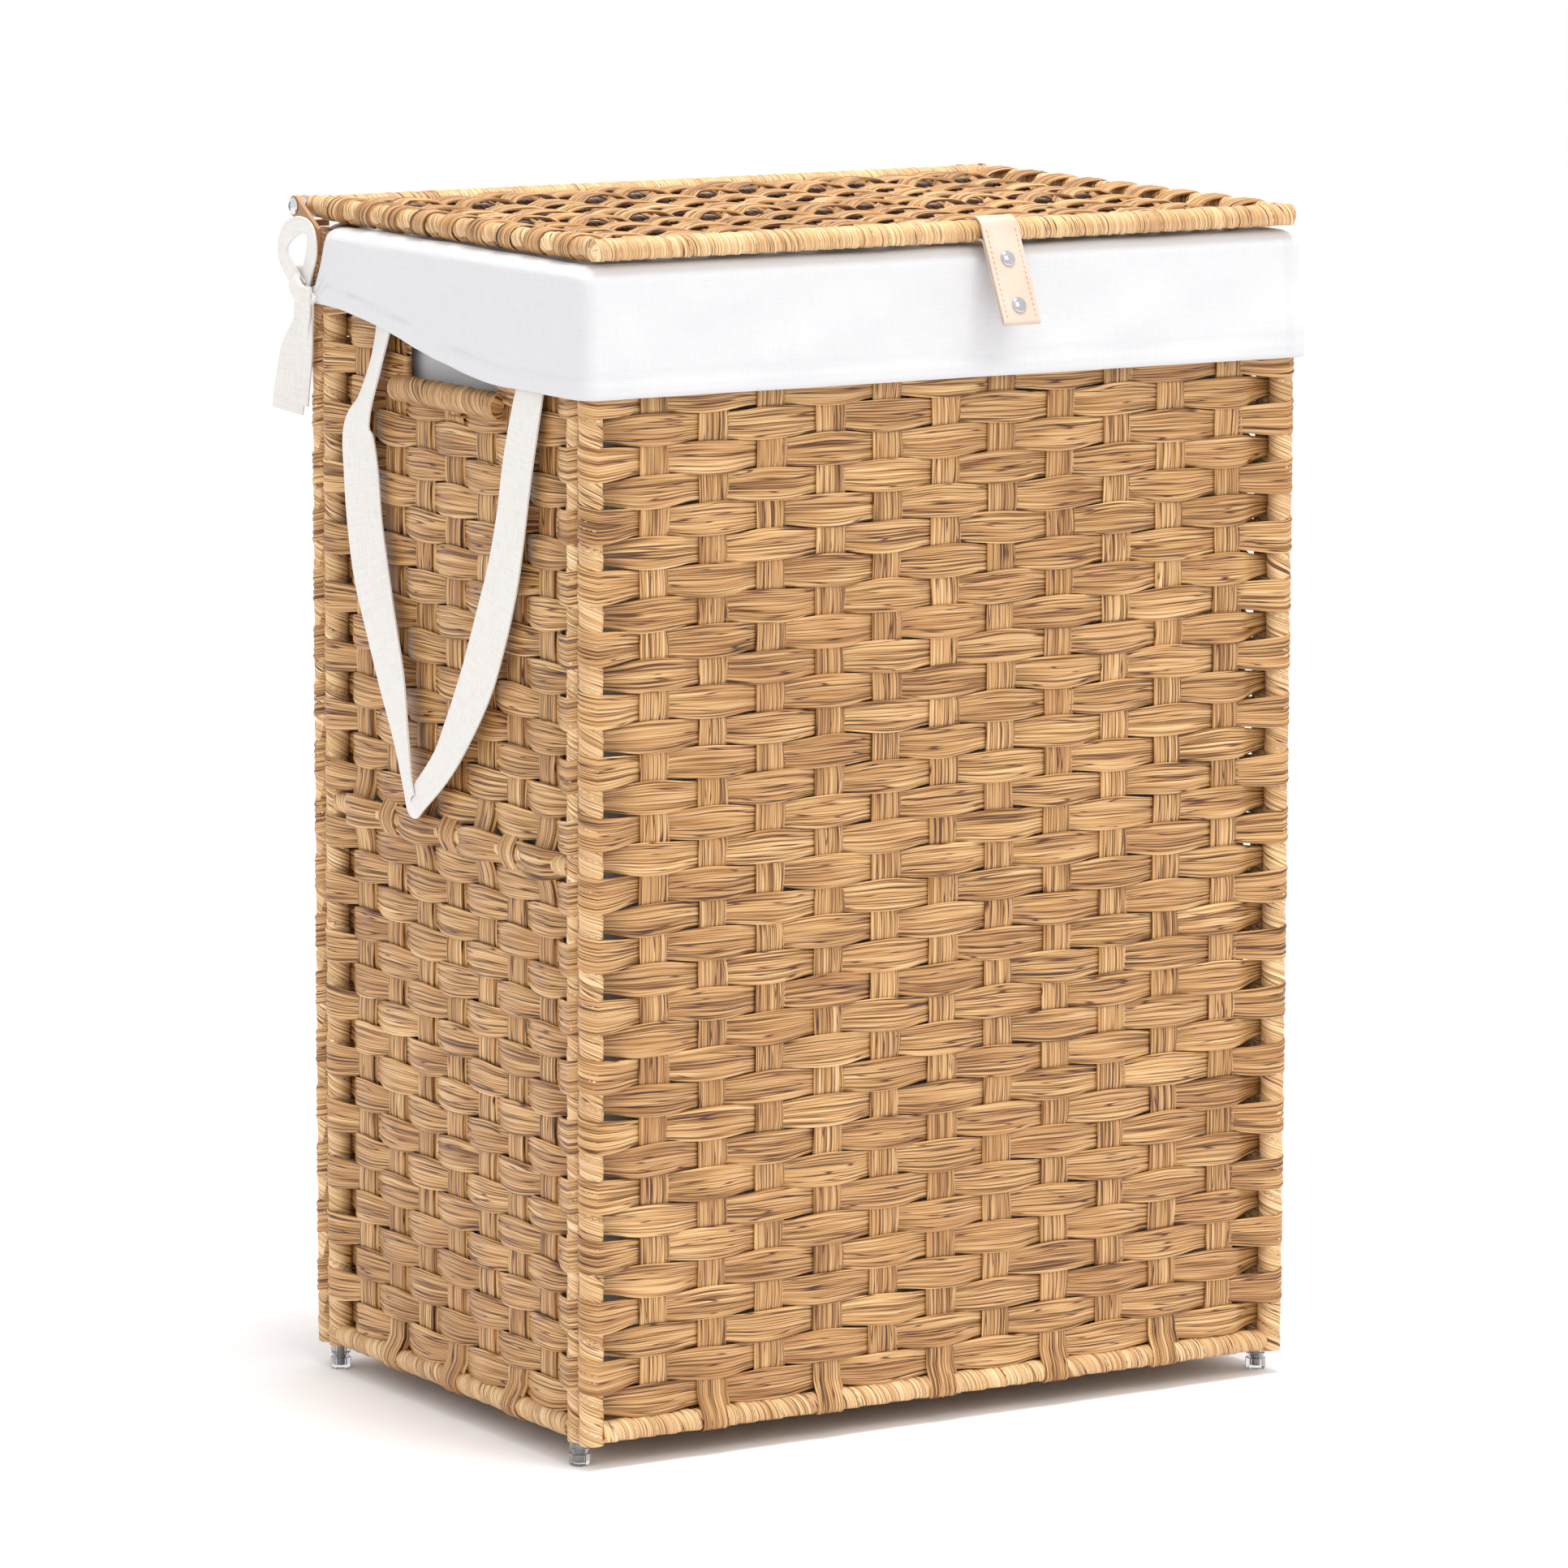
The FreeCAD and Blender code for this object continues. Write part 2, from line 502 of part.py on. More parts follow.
for name, side in (("left", -1), ("right", 1)):
    start = PLATE_X if side > 0 else f"(-{PLATE_X} - dims.plate_thick)"
    arm = plate(plate_outline, "dims.plate_thick", start)
    eye = rod("X", "dims.plate_width / 2", "dims.plate_thick", start, PIVOT_Y, LID_Z)
    lug_x = f"({side} * ({PLATE_X} - dims.stop_length / 2 + dims.plate_thick / 2))"
    lug_length = "dims.stop_length + dims.plate_thick"
    lug_y = f"({PIVOT_Y} - dims.stop_back - dims.stop_width / 2)"
    lug_z = f"({LID_Z} - dims.stop_drop - dims.stop_thick)"
    lug = block(lug_length, "dims.stop_width", "dims.stop_thick", lug_x, lug_y, lug_z)
    hole_length = f"dims.plate_thick + 2 * {OVERRUN}"
    hole_start = f"{start} - {OVERRUN}"
    hole = rod("X", "(dims.pin_dia + dims.pin_play) / 2", hole_length, hole_start, PIVOT_Y, LID_Z)
    subpart(f"hinge_plate_{name}", cut(fuse(arm, eye, lug), hole))


# ---- liner: a bag inside the walls, its top turned over the rim as a cuff

def upright(half_x, half_y, low, high):
    """A block about the middle of the body, from low to high."""
    return block(f"2 * {half_x}", f"2 * {half_y}", f"{high} - {low}", "0", "0", low)


CLOTH_TOP = f"({CUFF_TOP} - dims.cloth)"
cover = upright(CUFF_X, CUFF_Y, HEM_Z, CUFF_TOP)
wall_space = upright(
    f"({CUFF_X} - dims.cloth)", f"({CUFF_Y} - dims.cloth)", f"({HEM_Z} - {OVERRUN})", CLOTH_TOP
)
bag = upright(BAG_X, BAG_Y, BAG_Z, CLOTH_TOP)
bag_space = upright(
    f"({BAG_X} - dims.cloth)",
    f"({BAG_Y} - dims.cloth)",
    f"({BAG_Z} + dims.cloth)",
    f"({CUFF_TOP} + dims.cloth)",
)
HEM_RISEN_Z = f"({HEM_Z} + dims.cuff_rise)"
rising_hem = plate(
    [
        ("-dims.cuff_rise_start", f"{HEM_Z} - {OVERRUN}"),
        (f"{CUFF_Y} + {OVERRUN}", f"{HEM_Z} - {OVERRUN}"),
        (f"{CUFF_Y} + {OVERRUN}", HEM_RISEN_Z),
        ("dims.depth / 2 - dims.cuff_rise_end", HEM_RISEN_Z),
        ("-dims.cuff_rise_start", HEM_Z),
    ],
    f"2 * ({CUFF_X} + {OVERRUN})",
    f"-{CUFF_X} - {OVERRUN}",
)
SLIT_SPAN = "2 * dims.cuff_slit_width"
SLIT_HEIGHT = f"dims.cuff_slit_drop + 2 * {OVERRUN}"
SLIT_LOW = f"{RIM_Z} - dims.cuff_slit_drop"
slits = [
    block(SLIT_SPAN, SLIT_SPAN, SLIT_HEIGHT, mirrored(side, CUFF_X), CUFF_Y, SLIT_LOW)
    for side in (-1, 1)
]
cuff = cut(cover, wall_space)
subpart("liner", cut(cut(fuse(cuff, bag), bag_space), group([rising_hem, *slits])))


# ---- carrying straps, ties and the leather tab

LEG = "(dims.strap_leg / 2)"
ENDS = "(dims.strap_spread / 2)"
TIP_Z = f"({STRAP_Z} - dims.strap_drop)"
# How far down the strap its two legs meet, as a share of its drop.
LEGS_APART = "(dims.strap_spread - dims.strap_leg)"
CROTCH = f"({LEGS_APART} / (dims.strap_spread + dims.strap_leg - dims.strap_tip))"
FRONT_RUN = f"(dims.strap_tip_back - dims.strap_tip / 2 + {ENDS} + {LEG})"
strap_outline = [
    (f"(-{ENDS} - {LEG})", STRAP_Z),
    ("(dims.strap_tip_back - dims.strap_tip / 2)", TIP_Z),
    ("(dims.strap_tip_back + dims.strap_tip / 2)", TIP_Z),
    (f"({ENDS} + {LEG})", STRAP_Z),
    (f"({ENDS} - {LEG})", STRAP_Z),
    (f"(-{ENDS} + {LEG} + {FRONT_RUN} * {CROTCH})", f"({STRAP_Z} - dims.strap_drop * {CROTCH})"),
    (f"(-{ENDS} + {LEG})", STRAP_Z),
]
KNOT_Z = f"({RIM_Z} - dims.tie_drop)"
KNOT_Y = "(dims.depth / 2 + dims.tie_back)"
for name, side in (("left", -1), ("right", 1)):
    outer = f"({side} * {STRAP_X} - dims.strap_thick / 2)"
    subpart(f"strap_{name}", plate(strap_outline, "dims.strap_thick", outer))
    tie_x = f"({side} * ({CUFF_X} + dims.tie_gap + dims.tie_knot / 2))"
    knot_low = f"{KNOT_Z} - dims.tie_knot / 2"
    knot = block("dims.tie_knot", "dims.tie_knot", "dims.tie_knot", tie_x, KNOT_Y, knot_low)
    tail_y = f"({KNOT_Y} + dims.tie_tail_back)"
    tail_low = f"{KNOT_Z} - dims.tie_tail"
    tails = block("dims.tie_thick", "dims.tie_width", "dims.tie_tail", tie_x, tail_y, tail_low)
    loop = block("dims.tie_thick", "dims.tie_width", "dims.tie_loop", tie_x, tail_y, KNOT_Z)
    subpart(f"tie_{name}", fuse(knot, tails, loop))

# The tab is built straight down from the middle of the bar, then leaned out about the bar.
LEAF_BACK = f"({TAB_R} - 2 * dims.tab_leather)"


def lean(obj):
    """Leans a piece of the tab out about the middle of the lid's front bar."""
    obj.Placement.Rotation = FreeCAD.Rotation(FreeCAD.Vector(-1, 0, 0), 10)
    bind(obj, {"Placement.Rotation.Angle": "dims.tab_lean"})
    return at(obj, "dims.tab_offset", LID_Y, LID_Z)


def rivet(distance):
    """A capped rivet through both layers of the tab, on a shank."""
    shank_length = "(2 * (dims.tab_leather + dims.rivet_bury))"
    shank_start = f"-{TAB_R} - dims.rivet_bury"
    shank = rod("Y", "dims.rivet_shank / 2", shank_length, "0", shank_start, f"-{distance}")
    cap = doc.addObject("Part::Cone", "cap")
    cap.Placement.Rotation = ALONG["Y"]
    bind(cap, {"Radius1": "dims.rivet_crown_dia / 2", "Radius2": "dims.rivet_dia / 2"})
    bind(cap, {"Height": "dims.rivet_height"})
    at(cap, "0", f"-{TAB_R} - dims.rivet_height", f"-{distance}")
    back_start = f"-{LEAF_BACK}"
    back = rod("Y", "dims.rivet_back_dia / 2", "dims.rivet_back_thick", "0", back_start, f"-{distance}")
    return fuse(cap, shank, back)


rivets = {"upper": rivet("dims.rivet_upper"), "lower": rivet("dims.rivet_lower")}
ring = rod("X", TAB_R, "dims.tab_width", "-dims.tab_width / 2", "0", "0")
leaf_y = f"-({TAB_R} - dims.tab_leather)"
leaf = block("dims.tab_width", "2 * dims.tab_leather", "dims.tab_length", "0", leaf_y, "-dims.tab_length")
bar_space = rod("X", f"({TAB_R} - dims.tab_leather)", "dims.tab_width * 2", "-dims.tab_width", "0", "0")
tab = cut(cut(fuse(ring, leaf), bar_space), group(rivets.values()))
subpart("tab", lean(tab))
for name, piece in rivets.items():
    finished = doc.addObject("Part::Compound", "rivet")
    finished.Links = [piece]
    subpart(f"tab_rivet_{name}", lean(finished))


# ---- check every object, then write each sub-part

doc.recompute()
for obj in doc.Objects:
    if "Invalid" in obj.State or "Error" in obj.State:
        raise RuntimeError(f"{obj.Name} ({obj.Label}) did not build: {obj.State}")
for obj in subparts:
    if obj.Shape.isNull() or not obj.Shape.isValid() or obj.Shape.Volume <= 0:
        raise RuntimeError(f"{obj.Label} has no valid shape")
for obj in subparts:
    obj.Shape.exportStep(f"parts/{obj.Label}.step")
print(f"{len(subparts)} sub-parts written")
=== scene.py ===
"""Looks of a woven laundry hamper: flat fluted strand on a steel-tube frame, a hinged woven lid with a
leather tab, a cotton liner turned over the rim, two cotton carrying straps and clear feet.

Metres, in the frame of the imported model: X is the width, the front is at -Y, Z is up. Every piece is a
surface worked out with numpy. Each carries an attribute "lay": millimetres along the strand or cloth,
millimetres across it, and a number of its own, which the materials read so that grain and thread follow
the piece.
"""

import math
from collections import namedtuple

import bpy
import numpy as np
from mathutils import Matrix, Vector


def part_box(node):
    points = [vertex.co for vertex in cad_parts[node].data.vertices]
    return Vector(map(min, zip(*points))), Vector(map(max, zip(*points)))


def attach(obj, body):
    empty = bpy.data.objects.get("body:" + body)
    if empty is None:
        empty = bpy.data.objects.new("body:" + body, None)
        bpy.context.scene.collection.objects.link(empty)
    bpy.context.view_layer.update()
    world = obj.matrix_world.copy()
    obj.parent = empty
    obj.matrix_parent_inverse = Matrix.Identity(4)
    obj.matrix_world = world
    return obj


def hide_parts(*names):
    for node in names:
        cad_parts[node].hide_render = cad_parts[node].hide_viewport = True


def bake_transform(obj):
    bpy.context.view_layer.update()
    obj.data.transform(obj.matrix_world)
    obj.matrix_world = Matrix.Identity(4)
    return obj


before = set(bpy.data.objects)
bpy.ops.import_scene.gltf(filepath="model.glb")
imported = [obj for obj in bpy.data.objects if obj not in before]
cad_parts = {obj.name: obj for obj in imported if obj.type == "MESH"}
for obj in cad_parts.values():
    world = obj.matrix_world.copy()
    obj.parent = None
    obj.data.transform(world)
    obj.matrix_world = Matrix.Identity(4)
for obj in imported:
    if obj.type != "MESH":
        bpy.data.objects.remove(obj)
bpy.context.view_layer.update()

MM = 0.001

# ---- places, from the frame

low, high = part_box("front_frame")
TUBE_R = (high.y - low.y) / 2
POST_X = high.x - TUBE_R
POST_Y = -(high.y + low.y) / 2
SIDE_POST_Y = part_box("left_frame")[1].y - TUBE_R
low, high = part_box("front_binding")
BOUND_R = (high.y - low.y) / 2
BOUND_LOW = low.z
RIM_Z = high.z
BACK_BOUND_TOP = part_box("back_binding")[1].z
low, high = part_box("front_weave")
LOW_RAIL_Z = low.z - BOUND_R
TOP_RAIL_Z = high.z + BOUND_R
RAIL_R = RIM_Z - TOP_RAIL_Z
MID_RAIL_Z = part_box("left_upper_weave")[0].z - BOUND_R
low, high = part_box("lid_frame")
LID_X = high.x - TUBE_R
LID_Y = low.y + TUBE_R
LID_Z = (low.z + high.z) / 2
LID_REAR_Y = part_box("lid_weave")[1].y + BOUND_R
LID_BOUND_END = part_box("lid_binding")[1].y
low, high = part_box("base_frame")
BASE_X = high.x - TUBE_R
BASE_Y = high.y - TUBE_R
BASE_Z = (low.z + high.z) / 2
low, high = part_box("left_grip")
GRIP_Z = (low.z + high.z) / 2
GRIP_R = (high.z - low.z) / 2
GRIP_HALF = high.y

# ---- sizes of the strand and the weave

STRAND_THICK = 1.2 * MM
STRAND_MM = 15
FLUTES = 5
FLUTE_RISE = 0.34 * MM
FRONT_STAKES = 11
SIDE_STAKES = 7
WALL_ROWS = 37
LID_STAKES = 11
LID_ROWS = 19
BASE_STAKES = 11
BASE_ROWS = 15
WALL_WIDTH = 14.4 * MM
STAKE_WIDTH = 14.2 * MM
INNER_STAKE_WIDTH = 13.5 * MM
BASE_WIDTH = 14 * MM
LID_WIDTH = 13.2 * MM
LID_STAKE_WIDTH = 14.5 * MM
PLAIN_RELIEF = 1.5 * MM      # how far the front's and back's strands stand out, and how far in
SIDE_RELIEF = 2.0 * MM
BASE_RELIEF = 1.4 * MM
HANDHOLD_HEIGHT = 45 * MM

# ---- sizes of the strand wound round the bars

POST_LAP = 0.6 * MM          # how far it stands out past the sleeve of the model, on a post
POST_PITCH = 14.8 * MM
RAIL_PITCH = 13 * MM
BUNDLE_PITCH = 17 * MM
BASE_PITCH = 14 * MM
LID_FRONT_PITCH = 9 * MM
LID_SIDE_PITCH = 15 * MM
TURN_RISE = 0.55 * MM        # how far each turn climbs across its width
TURN_STEP = 0.65 * MM        # how far under the radius it starts
TURN_RIDGE = 0.16 * MM
SLEEVE_RING = 1.25 * MM      # between the rings of points along a bar
SLEEVE_SIDES = 20


def unit(v):
    """The vectors, each divided by its length."""
    return v / np.linalg.norm(v, axis=-1, keepdims=True)


def ease(x):
    """Rises smoothly from 0 to 1 while x does: 3 x squared less 2 x cubed."""
    x = np.clip(x, 0, 1)
    return x * x * (3 - 2 * x)


def drift(x, rng, rows, waves=((90, 1.0), (41, 0.6))):
    """Slow uneven waves along x, one line for each row: sines of these lengths in millimetres and heights."""
    phase = rng.uniform(0, 2 * np.pi, (rows, len(waves)))
    return sum(
        size * np.sin(2 * np.pi * x / (length * MM) + phase[:, wave : wave + 1])
        for wave, (length, size) in enumerate(waves)
    )


def ripple(points, rng, length, count=7):
    """A smooth uneven height over space: the mean of count plane sine waves of about this length."""
    total = 0
    for _ in range(count):
        direction = unit(rng.normal(size=3)) * rng.uniform(0.6, 1.4) / length
        total = total + np.sin(2 * np.pi * points @ direction + rng.uniform(0, 2 * np.pi))
    return total / math.sqrt(count)


# ---- meshes

Part = namedtuple("Part", "points quads tris lay")
NO_TRIS = np.zeros((0, 3), int)


def grid(rows, cols, ring=False):
    """The quads between neighbours in a grid of points. With ring, the last column meets the first."""
    r = np.arange(rows - 1)[:, None]
    c = np.arange(cols if ring else cols - 1)[None, :]
    after = (c + 1) % cols
    corners = [r * cols + c, r * cols + after, (r + 1) * cols + after, (r + 1) * cols + c]
    return np.stack(np.broadcast_arrays(*corners), -1).reshape(-1, 4)


def join(parts):
    """One part of all the parts."""
    starts = np.cumsum([0] + [len(p.points) for p in parts[:-1]])
    return Part(
        np.concatenate([p.points for p in parts]),
        np.concatenate([p.quads + s for p, s in zip(parts, starts)]),
        np.concatenate([p.tris + s for p, s in zip(parts, starts)]),
        np.concatenate([p.lay for p in parts]),
    )


def outward(part):
    """A closed part with its faces turned outwards, by the sign of the volume that they enclose."""
    tris = np.concatenate([part.tris, part.quads[:, [0, 1, 2]], part.quads[:, [0, 2, 3]]])
    a, b, c = (part.points[tris[:, corner]] for corner in range(3))
    if (a * np.cross(b, c)).sum() >= 0:
        return part
    return part._replace(quads=part.quads[:, ::-1], tris=part.tris[:, ::-1])


def capped(points, ends, lay=None):
    """Rings of points, rows x around x 3, as one part. The first and last rings close on the two ends."""
    rows, around = points.shape[:2]
    count = rows * around
    lay = np.zeros_like(points) if lay is None else lay
    here = np.arange(around)
    after = (here + 1) % around
    near = np.stack([np.full(around, count), after, here], -1)
    far = np.stack([np.full(around, count + 1), count - around + here, count - around + after], -1)
    whole = np.concatenate([points.reshape(-1, 3), ends])
    grain = np.concatenate([lay.reshape(-1, 3), lay[0, :1], lay[-1, :1]])
    return outward(Part(whole, grid(rows, around, ring=True), np.concatenate([near, far]), grain))


def piece(name, parts, material, body=None, stands_for=(), sharp_deg=50):
    """An object of the parts, with its material and its body, which hides the model's nodes that it stands
    for.
    """
    whole = join(parts)
    mesh = bpy.data.meshes.new(name)
    mesh.vertices.add(len(whole.points))
    mesh.vertices.foreach_set("co", whole.points.astype(np.float32).ravel())
    corners = np.concatenate([whole.quads.ravel(), whole.tris.ravel()])
    mesh.loops.add(len(corners))
    mesh.loops.foreach_set("vertex_index", corners.astype(np.int32))
    quad_starts = np.arange(len(whole.quads)) * 4
    starts = np.concatenate([quad_starts, whole.quads.size + np.arange(len(whole.tris)) * 3])
    mesh.polygons.add(len(starts))
    mesh.polygons.foreach_set("loop_start", starts.astype(np.int32))
    lay = mesh.attributes.new("lay", "FLOAT_VECTOR", "POINT")
    lay.data.foreach_set("vector", whole.lay.astype(np.float32).ravel())
    mesh.update(calc_edges=True)
    mesh.validate()
    mesh.polygons.foreach_set("use_smooth", np.ones(len(mesh.polygons), bool))
    mesh.set_sharp_from_angle(angle=math.radians(sharp_deg))
    mesh.materials.append(material)
    obj = bpy.data.objects.new(name, mesh)
    bpy.context.scene.collection.objects.link(obj)
    if stands_for:
        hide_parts(*stands_for)
    if body:
        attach(obj, body)
    return obj


def ribbons(path, out, width, rng, thick=STRAND_THICK, rise=FLUTE_RISE, lanes=2 * FLUTES + 1):
    """Closed flat strands. path and out are strands x steps x 3, and width is strands x steps.

    The section runs from -1/2 to 1/2 of the width, square to the path and to out. Its front has ridges and
    grooves of height rise by turns, uneven from one to the next, and its back is flat.
    """
    count, steps = path.shape[:2]
    ahead = unit(np.gradient(path, axis=1))
    across = unit(np.cross(ahead, out))
    out = np.cross(across, ahead)
    even = np.linspace(-0.5, 0.5, lanes)
    front = np.tile(even, (count, 1))
    front[:, 1:-1] += rng.normal(0, 0.1 / lanes, (count, lanes - 2))
    ridge = rng.uniform(0.35, 1, (count, lanes)) * np.where(np.arange(lanes) % 2, 1, -1)
    height = thick / 2 + rise * ridge
    height[:, [0, -1]] = thick / 5
    side = np.concatenate([front, np.full((count, 1), 0.5), np.full((count, 1), -0.5)], 1)
    lift = np.concatenate([height, np.full((count, 2), -thick / 2)], 1)
    points = path[:, :, None] + across[:, :, None] * (side[:, None] * width[:, :, None])[..., None]
    points = points + out[:, :, None] * lift[:, None, :, None]
    ring = lanes + 2
    step = np.linalg.norm(np.diff(path, axis=1), axis=-1)
    along = np.concatenate([np.zeros((count, 1)), np.cumsum(step, 1)], 1) / MM
    along += rng.uniform(0, 4000, (count, 1))
    lay = np.empty((count, steps, ring, 3))
    lay[..., 0] = along[:, :, None]
    lay[..., 1] = side[:, None] * STRAND_MM
    lay[..., 2] = rng.uniform(0, 50, (count, 1, 1))
    starts = (np.arange(count) * steps * ring)[:, None, None]
    quads = (grid(steps, ring, ring=True)[None] + starts).reshape(-1, 4)
    fan = np.array([(ring - 1, lane, lane + 1) for lane in range(ring - 2)])
    far = (steps - 1) * ring + fan[:, ::-1]
    tris = (np.concatenate([fan, far])[None] + starts).reshape(-1, 3)
    return outward(Part(points.reshape(-1, 3), quads, tris, lay.reshape(-1, 3)))


def sleeve(start, end, radius, pitch, rng, turn=1, uneven=0.2):
    """A strand wound round a bar from start to end, as one closed surface.

    At a along the bar and q round it, p is the fraction of a/pitch - q/turn plus a slow drift: how far across
    its own strand the point lies. The surface stands out by the radius, less a step that p climbs back, where
    each turn of the strand laps the last, plus five ridges across the strand.
    """
    start = np.array(start, float)
    axis = np.array(end, float) - start
    length = np.linalg.norm(axis)
    axis = axis / length
    first = unit(np.cross(axis, (0.31, 0.22, 0.92) if abs(axis[2]) < 0.9 else (1, 0, 0)))
    second = np.cross(axis, first)
    rings = int(length / SLEEVE_RING) + 2
    around = SLEEVE_SIDES
    a = np.linspace(0, length, rings)[:, None]
    q = (np.arange(around) / around * 2 * np.pi)[None, :]
    phase = rng.uniform(0, 2 * np.pi, 3)
    slow = uneven * (np.sin(a / (23 * MM) + phase[0]) + 0.5 * np.sin(a / (9 * MM) + phase[1]))
    turns = a / pitch - turn * q / (2 * np.pi) + slow
    p = turns - np.floor(turns)
    out = radius - TURN_STEP + TURN_RISE * p + TURN_RIDGE * np.abs(np.sin(FLUTES * np.pi * p))
    direction = np.cos(q)[..., None] * first + np.sin(q)[..., None] * second
    points = start + a[..., None] * axis + out[..., None] * direction
    lay = np.empty((rings, around, 3))
    lay[..., 0] = (2 * np.pi * np.floor(turns) + turn * q) * radius / MM
    lay[..., 1] = (p - 0.5) * STRAND_MM
    lay[..., 2] = rng.uniform(0, 50)
    return capped(points, [start, start + length * axis], lay)


# ---- weaving

Face = namedtuple("Face", "origin along out up")


def face(origin, along, out, up):
    """A panel's own directions: along the strands that cross it, out of it and up it."""
    return Face(*(np.array(v, float) for v in (origin, along, out, up)))


def turned(panel):
    """The same panel with along and up changed over, for the strands that run up it."""
    return panel._replace(along=panel.up, up=panel.along)


def lace(
    panel, lie, crossings, rng, relief, width, bar_r, over=1, swing=0.14, per=8, order=None,
    ends=None, same_side=False, lift=None, sway=None, sink=0.0, wander=0.35 * MM,
):
    """Strands that go over and under by turns what they cross, then round a bar at each end.

    A strand at crossing number i stands out of the panel by relief times cos(pi (i + its own number)), made
    squarer by tanh. Its width swings the same way. Near an end it eases out to the bar, passes in front of it
    or behind it, and goes round it on a circle. lie is where each strand lies across the panel. crossings are
    where it crosses, the two bars first and last. ends are where it stops, if short of the bars.

    relief is one height, or one for each strand. With same_side a strand goes round both bars on the side of
    the crossing next to them. lift(pos, lie) raises it, sink lowers it, and sway(pos, order) moves it across
    the panel. wander is how unevenly it lies, and per is the number of steps between two crossings.
    """
    count = len(lie)
    lie = np.asarray(lie, float)[:, None]
    order = np.arange(count) if order is None else np.asarray(order)
    bars = np.array([crossings[0], crossings[-1]])
    ends = np.tile(bars, (count, 1)) if ends is None else np.asarray(ends, float)
    steps = per * (len(crossings) - 1) + 1
    pos = ends[:, :1] + (ends[:, 1:] - ends[:, :1]) * np.linspace(0, 1, steps)[None]
    number = np.interp(pos, crossings, np.arange(-1, len(crossings) - 1))
    if same_side:
        number = np.clip(number, 0, len(crossings) - 3)
    wave = over * np.cos(np.pi * (number + order[:, None]))
    raised = 0 if lift is None else lift(pos, lie)
    depth = np.reshape(relief, (-1, 1)) * np.tanh(1.5 * wave) / math.tanh(1.5) - sink + raised
    side = np.where(wave[:, [0, -1]] > 0, 1.0, -1.0)
    on_bar = np.abs(ends - bars) < 0.1 * MM
    rho = np.where(on_bar, bar_r + 0.1 * MM, 1.4 * MM)
    reach = 0.8 * (bars[1] - bars[0]) / (len(crossings) - 1) * np.where(on_bar, 1, 0.4)
    near = [
        1 - ease((pos - ends[:, :1]) / reach[:, :1]),
        1 - ease((ends[:, 1:] - pos) / reach[:, 1:]),
    ]
    depth = depth * (1 - near[0] - near[1])
    for end in (0, 1):
        depth = depth + near[end] * (side * rho)[:, end : end + 1]
    across = lie + wander * drift(pos, rng, count) + (0 if sway is None else sway(pos, order))
    size = width * (1 + swing * wave) * rng.uniform(0.97, 1.03, (count, 1))
    for end in (0, 1):
        behind = near[end] * (side[:, end : end + 1] < 0)
        size = size * (1 - 0.24 * behind * on_bar[:, end : end + 1])
    round_it = np.linspace(0, 1, 8)[None, 1:]
    wraps = {"pos": [], "depth": [], "across": [], "size": []}
    for end, sign in ((0, -1), (1, 1)):
        facing = side[:, end : end + 1]
        r = rho[:, end : end + 1]
        angle = np.radians(np.where(facing > 0, 165, 50)) * round_it
        wrap = {
            "pos": ends[:, end : end + 1] + sign * r * np.sin(angle),
            "depth": facing * r * np.cos(angle),
            "across": across[:, [-end]] + np.where(on_bar[:, [end]], 0.3, 0) * width * angle / np.pi,
            "size": size[:, [-end]] * np.ones_like(angle),
        }
        for key, values in wrap.items():
            wraps[key].append(values[:, ::-1] if end == 0 else values)
    middle = {"pos": pos, "depth": depth, "across": across, "size": size}
    pos, depth, across, size = (
        np.concatenate([wraps[key][0], middle[key], wraps[key][1]], 1) for key in middle
    )
    path = (
        panel.origin + pos[..., None] * panel.along
        + depth[..., None] * panel.out + across[..., None] * panel.up
    )
    out = (
        np.gradient(pos, axis=1)[..., None] * panel.out
        - np.gradient(depth, axis=1)[..., None] * panel.along
    )
    return ribbons(path, unit(out), size, rng)


def split_rows(lie, half, gap_low, gap_high, gap_half):
    """Rows that a hole interrupts, in two: (where each lies, its number, its two ends)."""
    rows = []
    for number, at in enumerate(lie):
        if gap_low < at < gap_high:
            rows.append((at, number, -half, -gap_half))
            rows.append((at, number, gap_half, half))
        else:
            rows.append((at, number, -half, half))
    table = np.array(rows)
    return table[:, 0], table[:, 1], table[:, 2:]


# ---- materials


def linear(code, alpha=1.0):
    """The linear colour of an sRGB hex code."""
    values = [int(code[i : i + 2], 16) / 255 for i in (1, 3, 5)]
    return [v / 12.92 if v <= 0.04045 else ((v + 0.055) / 1.055) ** 2.4 for v in values] + [alpha]


def node(tree, kind, inputs=None, stops=(), **settings):
    """Adds a node. inputs are values or other nodes' outputs, and stops are a colour ramp's places and
    colours."""
    new = tree.nodes.new(kind)
    for key, value in settings.items():
        setattr(new, key, value)
    for key, value in (inputs or {}).items():
        if isinstance(value, bpy.types.NodeSocket):
            tree.links.new(value, new.inputs[key])
        else:
            new.inputs[key].default_value = value
    for index, (place, code) in enumerate(stops):
        ramp = new.color_ramp.elements
        stop = ramp[index] if index < 2 else ramp.new(place)
        stop.position = place
        stop.color = linear(code)
    return new


def shader(name, **sockets):
    """A material, its node tree and its Principled shader, with these values on the shader's sockets."""
    material = bpy.data.materials.new(name)
    material.use_nodes = True
    tree = material.node_tree
    surface = next(n for n in tree.nodes if n.type == "BSDF_PRINCIPLED")
    for key, value in sockets.items():
        surface.inputs[key.replace("_", " ")].default_value = value
    return material, tree, surface


def wire(tree, surface, colour=None, roughness=None, normal=None):
    """Joins colour, roughness and normal to the shader."""
    for key, output in (("Base Color", colour), ("Roughness", roughness), ("Normal", normal)):
        if output is not None:
            tree.links.new(output, surface.inputs[key])


